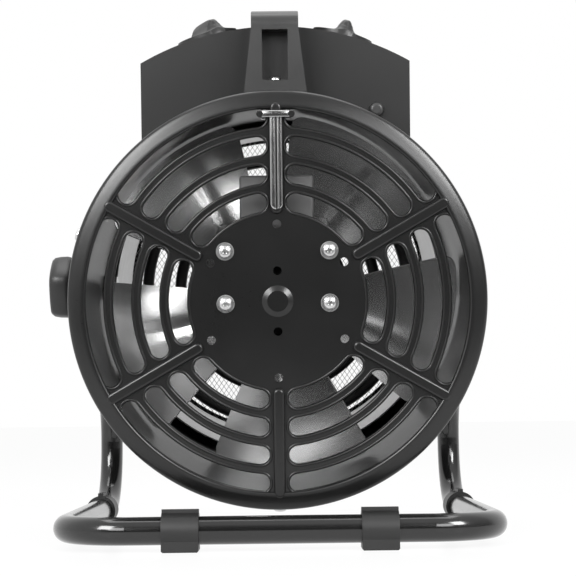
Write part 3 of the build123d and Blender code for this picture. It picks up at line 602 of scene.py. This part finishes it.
# the rolled rim of the intake grille: (radius, height towards the rear) round the ring's flat
grilleRim = {
    "plane": -153.0,
    "section": [
        (131.6, -0.8), (131.6, 0.4), (131.9, 1.4), (132.6, 2.1), (133.6, 2.3), (136.0, 1.78), (139.0, 0.98),
        (141.8, 0.16), (143.2, -0.5), (144.2, -1.7), (144.6, -3.4), (144.6, -15.6), (144.2, -16.4), (143.4, -16.6),
        (142.1, -16.4), (142.1, -2.2), (140.2, -0.8),
    ],
}
rimMesh = meshOf(lathe([(r * mm, h * mm) for r, h in grilleRim["section"]], 240, closed=True))
rimMesh.transform(drumFrame(grilleRim["plane"], rearward=True))
keepMesh("grilleRim", rimMesh, "satin_black_sheet", "drum", smooth=50)
print("grille rim made")


def roundedBox(low, high, radius, steps=4):
    build = bmesh.new()
    bmesh.ops.create_cube(build, size=1.0)
    for vertex in build.verts:
        vertex.co = Vector([(l + h) / 2 + c * (h - l) for l, h, c in zip(low, high, vertex.co)]) * mm
    bmesh.ops.bevel(build, geom=list(build.edges), offset=radius * mm, segments=steps, profile=0.5, affect="EDGES")
    return build


# the beads pressed round the grille's slots; step is the longest edge along a bead
slotLips = {
    "plane": -152.75, "sectors": 6, "rows": 4, "first": 68.55, "pitch": 19.2, "width": 12.5, "webHalf": 6.8,
    "offset": 1.25, "bead": 0.95, "step": 3.0,
}


def slotOutline(row, sector):
    # places round one slot, its bead's middle line
    look = slotLips
    radius = look["first"] + row * look["pitch"]
    half = look["width"] / 2 + look["offset"]
    end = math.asin((look["webHalf"] + look["width"] / 2) / radius)
    start, stop = sector * math.pi / 3 + end, (sector + 1) * math.pi / 3 - end
    along = max(4, round(radius * (stop - start) / look["step"]))
    outer = [(radius + half, start + (stop - start) * index / along) for index in range(along + 1)]
    inner = [(radius - half, stop + (start - stop) * index / along) for index in range(along + 1)]

    def cap(at, begin):
        turns = [begin + math.pi * index / 10 for index in range(1, 10)]
        x, z = radius * math.sin(at), radius * math.cos(at)
        return [(x + half * math.sin(turn), z + half * math.cos(turn)) for turn in turns]

    def polar(places):
        return [(r * math.sin(a), r * math.cos(a)) for r, a in places]

    return polar(outer) + cap(stop, stop) + polar(inner) + cap(start, start + math.pi)


def slotBeads():
    look = slotLips
    places, edges = [], []
    for row in range(look["rows"]):
        for sector in range(look["sectors"]):
            outline = slotOutline(row, sector)
            first, count = len(places), len(outline)
            places += [tuple(drumPoint(x, look["plane"], z)) for x, z in outline]
            edges += [(first + index, first + (index + 1) % count) for index in range(count)]
    base = bpy.data.meshes.new("outlines")
    base.from_pydata(places, edges, [])
    tree = Tree("slotBeads", Bead=look["bead"] * mm)
    curve = tree.node("GeometryNodeMeshToCurve", {}, {0: tree.given("Geometry")})
    section = tree.node("GeometryNodeCurvePrimitiveCircle", {}, {"Resolution": 10, "Radius": tree.given("Bead")})
    swept = tree.node("GeometryNodeCurveToMesh", {}, {"Curve": curve, "Profile Curve": section})
    keepMesh("slotBeads", tree.run(swept, "satin_black_sheet", base), "satin_black_sheet", "drum", smooth=80)


slotBeads()

# the bright strip on the top rib and the clip across its end; the strip's bright metal is a painted highlight of the
# glossy black rib, and the clip wears the same bright metal as a painted highlight
topStrip = {
    "base": -155.2, "low": 62.6, "high": 127.5, "round": 4.3,
    "section": [
        (-4.3, 0.0), (-4.2, 0.6), (-3.6, 1.0), (-2.4, 1.2), (-1.2, 1.1), (-0.3, 0.7), (0.1, -0.2),
        (0.7, 0.5), (1.3, 1.2), (2.0, 1.1), (2.5, -0.1), (3.1, 0.7), (3.8, 0.6), (4.3, 0.0),
    ],
    "foot": 1.2, "clipHalf": 10.3, "clipLow": 125.6, "clipHigh": 130.2, "clipRear": -158.0, "clipRound": 0.9,
    "boltAt": 10.6, "boltSection": [(0, 0), (2.5, 0), (2.5, 3.6), (1.75, 4.4), (0, 4.4)],
}


def highlightStripOfRib():
    look = topStrip
    build = bmesh.new()
    rows = []
    for step in range(9):
        share = step / 8
        wide = max(0.08, math.sqrt(1 - (1 - share) ** 2))  # the lower end is round
        rows.append((look["low"] + look["round"] * share, wide))
    rows.append((look["high"], 1.0))
    loops = [
        [build.verts.new(drumPoint(x * wide, look["base"] - rise * wide, height)) for x, rise in look["section"]]
        for height, wide in rows
    ]
    for lower, upper in zip(loops, loops[1:]):
        for index in range(len(lower)):
            after = (index + 1) % len(lower)
            build.faces.new((lower[index], lower[after], upper[after], upper[index]))
    build.faces.new(loops[0])
    build.faces.new(loops[-1])
    bmesh.ops.recalc_face_normals(build, faces=list(build.faces))
    return meshOf(build)


def clipOfRib():
    look = topStrip
    low = (-look["clipHalf"], look["clipRear"], look["clipLow"])
    high = (look["clipHalf"], look["base"] + look["foot"], look["clipHigh"])
    build = roundedBox(low, high, look["clipRound"], 3)
    for vertex in build.verts:
        vertex.co = drumPoint(*(vertex.co / mm))
    return meshOf(build)


def boltsOfClip():
    look = topStrip
    both = bmesh.new()
    middle = (look["clipLow"] + look["clipHigh"]) / 2
    for side in (-1, 1):
        head = lathe([(r * mm, h * mm) for r, h in look["boltSection"]], 28)
        head.transform(drumFrame(look["base"] + look["foot"], rearward=True))
        head.transform(Matrix.Translation(drumPoint(side * look["boltAt"], 0, middle) - drumPoint(0, 0, 0)))
        both.from_mesh(meshOf(head))
    return meshOf(both)


# painted highlight: the strip and the clip get a bright metal that stands for the light on the glossy rib
ribHighlightFinish = satinMetal("ribHighlightMetal", ribHighlightMetal)
for name, mesh in (("topRibStrip", highlightStripOfRib()), ("topRibClip", clipOfRib())):
    keepMesh(name, mesh, "zinc_plate", "drum", smooth=60)
    mesh.materials[0] = ribHighlightFinish
keepMesh("topRibBolts", boltsOfClip(), "satin_black_sheet", "drum")
print("slot beads and top rib made")

# pitches and cambers run over the span from root to tip; the crease is the fold pressed along each blade,
# which grows over creaseIn and fades over creaseOut: (radius, length)
fanShape = {
    "blades": 5, "first": 32.0, "root": 33.0, "tip": 133.2, "halfAngle": 26.8, "thickness": 1.5, "tipRound": 9.0,
    "spanFrom": 30.0, "span": 104.0, "pitches": (38.0, 26.0, 19.0), "cambers": (2.0, 6.0, 9.0),
    "crease": 1.5, "creasePlace": 0.18, "creaseWidth": 0.13, "creaseIn": (44.0, 14.0), "creaseOut": (124.0, 16.0),
    "arm": 8.0, "armInset": 2.0, "armEnd": 68.0, "armLift": 1.5, "armThickness": 1.3,
    "rivets": ((45.0, -4.0), (45.0, 4.0), (61.0, 0.0)), "rivetLift": 2.0,
    "rivetSection": [(0, 0), (2.9, 0), (2.8, 0.5), (2.2, 1.1), (1.2, 1.45), (0, 1.55)],
    "cupSection": [
        (36.0, -15.0), (36.0, 11.0), (35.3, 13.2), (33.4, 14.7), (31.0, 15.0), (12.2, 15.0), (12.2, 13.2),
        (30.6, 13.2), (33.0, 12.4), (34.2, 10.4), (34.2, -15.0),
    ],
}


def between3(values, share):  # a smooth run through three values
    low, middle, high = values
    bend = 2 * (high + low - 2 * middle)
    return low + share * (high - low - bend) + share * share * bend


def bladePoint(radius, angle, lift=0.0):
    # a place on the first blade's face, in the drum's directions about the fan's centre
    look = fanShape
    share = (radius - look["spanFrom"]) / look["span"]
    pitch = math.radians(between3(look["pitches"], share))
    turn = angle / math.radians(look["halfAngle"])
    x, z = radius * math.sin(angle), radius * math.cos(angle)
    (inFrom, inOver), (outTo, outOver) = look["creaseIn"], look["creaseOut"]
    fade = min(1.0, max(0.0, (radius - inFrom) / inOver)) * min(1.0, max(0.0, (outTo - radius) / outOver))
    place = look["creasePlace"] + 0.25 * (share - 0.5)
    crease = look["crease"] * fade * math.exp(-(((turn - place) / look["creaseWidth"]) ** 2))
    along = x * math.tan(pitch) + between3(look["cambers"], share) * (1 - turn * turn) - crease - lift
    return Vector((x * mm, along * mm, z * mm))


def gridSheet(rows, thickness):
    # a sheet through rows of places, given its thickness towards the outlet
    build = bmesh.new()
    points = [[build.verts.new(place) for place in row] for row in rows]
    for low, high in zip(points, points[1:]):
        for index in range(len(low) - 1):
            build.faces.new((low[index], low[index + 1], high[index + 1], high[index]))
    bmesh.ops.recalc_face_normals(build, faces=build.faces)
    bmesh.ops.solidify(build, geom=list(build.faces), thickness=thickness * mm)
    bmesh.ops.recalc_face_normals(build, faces=build.faces)
    return build


def bladeMesh(across=36, along=30):
    look = fanShape
    rows = []
    for step in range(along + 1):
        radius = look["root"] + (look["tip"] - look["root"]) * math.sin(0.5 * math.pi * step / along)
        left = max(0.0, look["tipRound"] - (look["tip"] - radius))
        inset = look["tipRound"] - math.sqrt(max(0.0, look["tipRound"] ** 2 - left**2))
        half = math.radians(look["halfAngle"]) - inset / radius
        rows.append([bladePoint(radius, half * (2 * index / across - 1)) for index in range(across + 1)])
    return meshOf(gridSheet(rows, look["thickness"]))


def armMesh():
    look = fanShape
    rows = []
    start, end = look["root"] + look["armInset"], look["armEnd"]
    for step in range(17):
        radius = start + (end - start) * step / 16
        left = max(0.0, look["arm"] - (end - radius))
        half = math.sqrt(max(0.2, look["arm"] ** 2 - left**2))
        rows.append([bladePoint(radius, half * (index / 4 - 1) / radius, look["armLift"]) for index in range(9)])
    return meshOf(gridSheet(rows, look["armThickness"]))


bladeCount, firstBlade = fanShape["blades"], fanShape["first"]
for name, pattern, replaced in (("fanBlades", bladeMesh(), ("impeller",)), ("fanArms", armMesh(), ())):
    mesh = wheelOf(name + "Wheel", pattern, bladeCount, firstBlade, "blade_aluminium")
    mesh.transform(drumFrame(fanAlong) @ Matrix.Rotation(math.pi / 2, 4, "X"))
    keepMesh(name, mesh, "blade_aluminium", "fan", replaced, smooth=50)
rivet = lathe([(r * mm, h * mm) for r, h in fanShape["rivetSection"]], 20)
rivetPlaces = []
for blade in range(bladeCount):
    spin = Matrix.Rotation(math.radians(firstBlade + blade * 360 / bladeCount), 4, "Y")
    for radius, side in fanShape["rivets"]:
        place = spin @ bladePoint(radius, side / radius, fanShape["rivetLift"])
        rivetPlaces.append(fanCentre + drumTurn @ place)
keepMesh(
    "fanRivets", repeatOn("fanRivetSet", meshOf(rivet), rivetPlaces, [outwards] * len(rivetPlaces), "blade_aluminium"),
    "blade_aluminium", "fan",
)
cupMesh = meshOf(lathe([(r * mm, h * mm) for r, h in fanShape["cupSection"]], 96, closed=True))
cupMesh.transform(drumFrame(fanAlong))
keepMesh("fanCup", cupMesh, "blade_aluminium", "fan")
print("fan made")

# a small motor behind the hub: two end bells over a stack of plates, hung on two ears
motorShape = {
    "bells": [
        (11.3, -141.9), (38.0, -141.9), (43.2, -140.4), (46.0, -136.5), (46.0, -125.0), (44.8, -124.0), (44.8, -100.0),
        (46.0, -99.0), (46.0, -88.0), (43.5, -84.0), (38.0, -82.2), (6.3, -82.2), (6.3, -84.4), (37.0, -84.4),
        (42.6, -88.5), (42.6, -136.0), (37.0, -139.5), (11.3, -139.5),
    ],
    "stack": [(44.0, -123.8), (47.4, -123.8), (47.4, -100.2), (44.0, -100.2)],
    "earSection": [(0, 0.1), (0, 4.1), (8.0, 4.1), (8.5, 3.6), (8.5, 0.1)], "earAlong": -142, "earBeyond": 45.0,
}
for name, section, finish, replaced in (
    ("motorBells", "bells", "motor_casting", ("motor_can", "motor_cover")),
    ("motorStack", "stack", "stator_core", ("stator",)),
):
    mesh = meshOf(lathe([(r * mm, h * mm) for r, h in motorShape[section]], 96, closed=True))
    mesh.transform(drumFrame())
    keepMesh(name, mesh, finish, "drum", replaced)
earPlane = drumPoint(0, motorShape["earAlong"], 0)
earTops = [top for top in washerTops if fromAxis(top).length > motorShape["earBeyond"] * mm]
earPlaces = [top + drumAxis * (earPlane - top).dot(drumAxis) for top in earTops]
earMesh = meshOf(lathe([(r * mm, h * mm) for r, h in motorShape["earSection"]], 32))
keepMesh(
    "motorEars", repeatOn("motorEarSet", earMesh, earPlaces, [drumAxis] * len(earPlaces), "motor_casting"),
    "motor_casting", "drum",
)


capacitorShape = {
    "half": 26.0, "foot": 42.0, "top": 87.0, "rear": -138.0, "front": -100.0, "round": 2.5,
    "lid": 5.0, "lidGap": 0.5, "lidInset": 0.4, "lidRound": 2.0,
}


def capacitorHousing():
    look = capacitorShape
    half, foot, inset, lidEnd = look["half"], look["foot"], look["lidInset"], look["rear"] + look["lid"]
    build = roundedBox((-half, lidEnd + look["lidGap"], foot), (half, look["front"], look["top"]), look["round"])
    low, high = (-half + inset, look["rear"], foot), (half - inset, lidEnd, look["top"] - inset)
    build.from_mesh(meshOf(roundedBox(low, high, look["lidRound"])))
    mesh = meshOf(build)
    mesh.transform(Matrix.Translation(drumPoint(0, 0, 0)) @ drumTurn)
    keepMesh("capacitorHousing", mesh, "grey_case", "drum", ("capacitor_box",))


capacitorHousing()
print("motor made")


outletMesh = {"radius": 134.0, "pitch": 3.5, "wire": 0.22, "lean": 35.0, "rim": 1.6}


def outletGuard():
    low, high = (Vector(corner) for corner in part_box("outlet_guard"))
    centre = (low + high) / 2
    tree = Tree(
        "outletMesh", Radius=outletMesh["radius"] * mm, Pitch=outletMesh["pitch"] * mm,
        Wire=outletMesh["wire"] * mm, Lean=math.radians(outletMesh["lean"]), Rim=outletMesh["rim"] * mm,
    )
    radius, pitch, wire = tree.given("Radius"), tree.given("Pitch"), tree.given("Wire")
    count = tree.math("FLOOR", tree.math("DIVIDE", radius, pitch))
    total = tree.math("ADD", tree.math("MULTIPLY", count, 2.0), 1.0)
    reach = tree.math("MULTIPLY", count, pitch)
    start = tree.node("ShaderNodeCombineXYZ", {}, {"X": tree.math("MULTIPLY", reach, -1.0)})
    stop = tree.node("ShaderNodeCombineXYZ", {}, {"X": reach})
    line = tree.node(
        "GeometryNodeMeshLine", {"mode": "END_POINTS"}, {"Count": total, "Start Location": start, "Offset": stop}
    )
    spot = tree.node("GeometryNodeInputPosition", {}, {})
    across = tree.node("ShaderNodeSeparateXYZ", {}, {0: spot}, "X")
    whole, off = tree.math("MULTIPLY", radius, radius), tree.math("MULTIPLY", across, across)
    half = tree.math("SQRT", tree.math("SUBTRACT", whole, off))
    strand = tree.node("GeometryNodeMeshCylinder", {"fill_type": "NGON"}, {"Vertices": 4, "Radius": wire, "Depth": 2.0})
    long = tree.node("ShaderNodeCombineXYZ", {}, {"X": 1.0, "Y": 1.0, "Z": half})
    upright = tree.node("FunctionNodeEulerToRotation", {}, {"Euler": (math.pi / 2, 0, 0)})
    strands = tree.node(
        "GeometryNodeInstanceOnPoints", {}, {"Points": line, "Instance": strand, "Rotation": upright, "Scale": long}
    )
    both = tree.group.nodes.new("GeometryNodeJoinGeometry")
    for sign in (1.0, -1.0):
        turn = tree.node("ShaderNodeCombineXYZ", {}, {"Z": tree.math("MULTIPLY", tree.given("Lean"), sign)})
        leant = tree.node("GeometryNodeTransform", {}, {"Geometry": strands, "Rotation": turn})
        tree.group.links.new(leant, both.inputs[0])
    circle = tree.node("GeometryNodeCurvePrimitiveCircle", {}, {"Resolution": 96, "Radius": radius})
    section = tree.node("GeometryNodeCurvePrimitiveCircle", {}, {"Resolution": 10, "Radius": tree.given("Rim")})
    rim = tree.node("GeometryNodeCurveToMesh", {}, {"Curve": circle, "Profile Curve": section})
    tree.group.links.new(rim, both.inputs[0])
    mesh = tree.run(both.outputs[0], "satin_black_sheet", bpy.data.meshes.new("empty"))
    mesh.transform(Matrix.Translation(centre) @ drumTurn @ Matrix.Rotation(math.pi / 2, 4, "X"))
    keepMesh("outletMesh", mesh, "galvanised_sheet", "drum", ("outlet_guard",))


outletGuard()
print("outlet mesh made")


# the skirt falls a little to its edge and rolls over past edgeFrom; the grip's crown falls to its ends
knobShape = {
    "radius": 22.3, "lift": 0.35, "skirt": 4.6, "skirtFall": 0.9, "edgeFrom": 20.3, "edgeWidth": 2.0, "edgeFall": 3.2,
    "height": 15.6, "gripHalf": 4.8, "reach": 20.4, "fall": 2.6, "flatTop": 1.2, "crownCurve": 0.36,
    "flankStart": 0.8, "flankLength": 2.0, "flankShare": 0.9, "leastHeight": 1.0, "turnSteps": 144, "ringSteps": 46,
}


def controlKnob(name, joint, node, gripTurn):
    # a round skirt that sweeps up into a narrow grip with hollow flanks
    look = knobShape
    out = Vector(joint["axis"]).normalized()
    foot = Vector(joint["pos_m"]) + out * look["lift"] * mm

    def height(x, y):
        radius = math.hypot(x, y)
        rolled = max(0, (radius - look["edgeFrom"]) / look["edgeWidth"]) ** 2
        skirt = look["skirt"] - look["skirtFall"] * (radius / look["radius"]) ** 2 - look["edgeFall"] * rolled
        end = max(0, abs(x) - (look["reach"] - look["gripHalf"]))
        side = math.hypot(end, y)
        sweep = math.exp(-max(0.0, side - look["gripHalf"] + look["flankStart"]) / look["flankLength"])
        crown = look["height"] - look["fall"] * (abs(x) / look["reach"]) ** 2
        grip = crown - max(0, side - look["flatTop"]) ** 2 * look["crownCurve"]
        flank = look["skirt"] + (look["height"] - look["skirt"]) * sweep * look["flankShare"]
        return max(skirt, min(flank, grip) if side < look["gripHalf"] else flank - (look["height"] - crown) * sweep)

    build = bmesh.new()
    rings = []
    radii = [look["radius"] * (index / look["ringSteps"]) for index in range(1, look["ringSteps"] + 1)]
    top = build.verts.new((0, 0, height(0, 0) * mm))
    for radius in radii:
        rings.append([])
        for step in range(look["turnSteps"]):
            angle = 2 * math.pi * step / look["turnSteps"]
            x, y = radius * math.cos(angle), radius * math.sin(angle)
            rings[-1].append(build.verts.new((x * mm, y * mm, max(height(x, y), look["leastHeight"]) * mm)))
    rings.append([build.verts.new((v.co.x, v.co.y, 0)) for v in rings[-1]])
    base = build.verts.new((0, 0, 0))
    steps = look["turnSteps"]
    for step in range(steps):
        build.faces.new((top, rings[0][step], rings[0][(step + 1) % steps]))
        build.faces.new((base, rings[-1][(step + 1) % steps], rings[-1][step]))
    for inner, outer in zip(rings, rings[1:]):
        for step in range(steps):
            after = (step + 1) % steps
            build.faces.new((inner[step], outer[step], outer[after], inner[after]))
    bmesh.ops.recalc_face_normals(build, faces=build.faces)
    mesh = meshOf(build)
    axes = Matrix((drumAxis, out.cross(drumAxis), out)).transposed().to_4x4()
    mesh.transform(Matrix.Translation(foot) @ axes @ Matrix.Rotation(math.radians(gripTurn), 4, "Z"))
    keepMesh(name, mesh, "black_knob", joint["child"], (node,), smooth=60)


controlKnob("thermostatKnob", joints["thermostat_turn"], "thermostat_knob", 25.0)
controlKnob("switchKnob", joints["switch_turn"], "switch_knob", 3.0)

# the clamp knob is a block with five soft sides; its section runs outwards from the tube
clampShape = {
    "sides": 5, "turn": 22.0, "flat": 0.09, "roundWithin": 11.5, "steps": 120,
    "section": [
        (0.0, 0.0), (9.0, 0.0), (11.0, 0.6), (22.6, 2.2), (24.6, 3.4), (25.2, 6.0), (25.0, 11.5), (24.2, 15.6),
        (22.4, 17.6), (19.5, 18.1), (12.0, 17.9), (10.5, 17.2), (0.0, 17.0),
    ],
}


def clampKnob():
    look = clampShape
    joint = joints["clamp_knob_turn"]
    build = lathe([(r * mm, h * mm) for r, h in look["section"]], look["steps"])
    for vertex in build.verts:
        radius = math.hypot(vertex.co.x, vertex.co.y)
        if radius > look["roundWithin"] * mm:
            angle = math.atan2(vertex.co.y, vertex.co.x) + math.radians(look["turn"])
            side = 2 * math.pi / look["sides"]
            off = abs((angle + side / 2) % side - side / 2) / (side / 2)
            shrink = 1 - look["flat"] * (1 - off**2) ** 1.5
            vertex.co.x *= shrink
            vertex.co.y *= shrink
    mesh = meshOf(build)
    turned = Vector(joint["axis"]).to_track_quat("Z", "Y").to_matrix().to_4x4()
    mesh.transform(Matrix.Translation(joint["pos_m"]) @ turned)
    keepMesh("clampKnob", mesh, "black_knob", joint["child"], ("clamp_knob",), smooth=50)


clampKnob()
print("knobs made")


# floorWhite is the floor's own white; front, low and high are what shiny pieces mirror of the room
studio = {
    "floorSide": 30.0, "floorFront": -0.5, "floorBack": 30.0,
    "floorGrey": 0.92, "floorRoughness": 0.22, "floorWhite": 0.88,
    "ambient": 0.50, "front": 0.03, "low": 0.20, "high": 0.9,
}
# each lamp: (place, target, size, watts)
lamps = {
    "keyLeft": ((-1.0, -1.35, 0.95), (0, -0.1, 0.2), (0.6, 0.8), 25.0),
    "fillRight": ((1.1, -1.25, 0.95), (0, -0.1, 0.2), (0.5, 0.7), 24.0),
    "paneLeft": ((-0.65, -1.72, 0.65), (0, -0.1, 0.2), (0.6, 0.6), 8.0),
    "paneRight": ((0.68, -1.70, 0.68), (0, -0.1, 0.2), (0.6, 0.6), 8.0),
    "topSoft": ((0.0, 0.1, 1.9), (0, 0, 0.2), (1.6, 1.0), 14.0),
}


def stageFloor():
    material, graph = newFinish("paleFloor")
    where = graph.place()
    cloud = graph.noise(where, 1.5, 2.0)
    graph.finishSurface(
        colour=graph.shades(cloud, grey(studio["floorGrey"] - 0.01), grey(studio["floorGrey"])),
        roughness=studio["floorRoughness"] + (cloud - 0.5) * 0.02,
        level=0.35,
    )
    # most of the white that is seen is the floor's own, so that it runs into the backdrop
    surface, out = graph.tree.nodes["Principled BSDF"], graph.tree.nodes["Material Output"]
    seen = (graph.rays("Is Camera Ray") + graph.rays("Is Glossy Ray") + graph.rays("Is Transmission Ray")).clamped()
    white = graph.node("ShaderNodeEmission", {}, {"Color": (1, 1, 1, 1), "Strength": 1.0})
    painted = Value(graph, surface.outputs[0])
    mixed = graph.node("ShaderNodeMixShader", {}, {0: seen * studio["floorWhite"], 1: painted, 2: white})
    graph.tree.links.new(mixed.socket, out.inputs["Surface"])
    mesh = bpy.data.meshes.new("floor")
    side, front, back = studio["floorSide"], studio["floorFront"], studio["floorBack"]
    mesh.from_pydata([(-side, front, 0), (side, front, 0), (side, back, 0), (-side, back, 0)], [], [(0, 1, 2, 3)])
    mesh.materials.append(material)
    floor = bpy.data.objects.new("floor", mesh)
    scene.collection.objects.link(floor)


def studioWorld():
    world = bpy.data.worlds.new("studio")
    scene.world = world
    world.use_nodes = True
    graph = Graph(world.node_tree)
    direction = graph.node("ShaderNodeTexCoord", {}, {}, "Generated")
    x, y, z = (graph.node("ShaderNodeSeparateXYZ", {}, {0: direction}, axis) for axis in "XYZ")
    behind = y.between(-0.1, 0.4)  # the white backdrop
    beside = y.between(-0.95, -0.62)  # all but the dark room round the camera
    upLeft = (z * 0.75 - x * 0.45).between(-0.7, 0.6)
    camera = graph.rays("Is Camera Ray")
    mirror = (graph.rays("Is Glossy Ray") + graph.rays("Is Transmission Ray")).clamped()
    room = upLeft * (studio["high"] - studio["low"]) + studio["low"]
    mirrored = (beside * room + studio["front"]).math("MAXIMUM", behind)
    level = camera + (1 - camera) * (mirror * mirrored + (1 - mirror) * studio["ambient"])
    back = graph.node("ShaderNodeBackground", {}, {"Color": (1, 1, 1, 1), "Strength": level})
    out = graph.tree.nodes.new("ShaderNodeOutputWorld")
    graph.tree.links.new(back.socket, out.inputs["Surface"])


def softLight(name, place, target, size, power):
    lamp = bpy.data.lights.new(name, "AREA")
    lamp.shape = "RECTANGLE"
    lamp.size, lamp.size_y = size
    lamp.energy = power
    light = bpy.data.objects.new(name, lamp)
    light.location = place
    light.rotation_euler = (Vector(target) - Vector(place)).to_track_quat("-Z", "Y").to_euler()
    scene.collection.objects.link(light)


stageFloor()
studioWorld()
for name, setting in lamps.items():
    softLight(name, *setting)

shot = {"place": (0.0098, -1.19697, 0.0872), "yaw": 0.255, "pitch": 4.931, "roll": 0.696, "lens": 95.5}


def shotCamera():
    lens = bpy.data.cameras.new("shotCamera")
    lens.lens = shot["lens"]
    lens.sensor_width = 36.0
    lens.clip_start = 0.01
    yaw, pitch, roll = (math.radians(shot[key]) for key in ("yaw", "pitch", "roll"))
    ahead = Vector((math.sin(yaw) * math.cos(pitch), math.cos(yaw) * math.cos(pitch), math.sin(pitch)))
    right = Vector((math.cos(yaw), -math.sin(yaw), 0))
    up = right.cross(ahead)
    across = right * math.cos(roll) - up * math.sin(roll)
    above = right * math.sin(roll) + up * math.cos(roll)
    camera = bpy.data.objects.new("shotCamera", lens)
    camera.matrix_world = Matrix.Translation(shot["place"]) @ Matrix((across, above, -ahead)).transposed().to_4x4()
    scene.collection.objects.link(camera)
    scene.camera = camera


shotCamera()
print("studio and camera set")
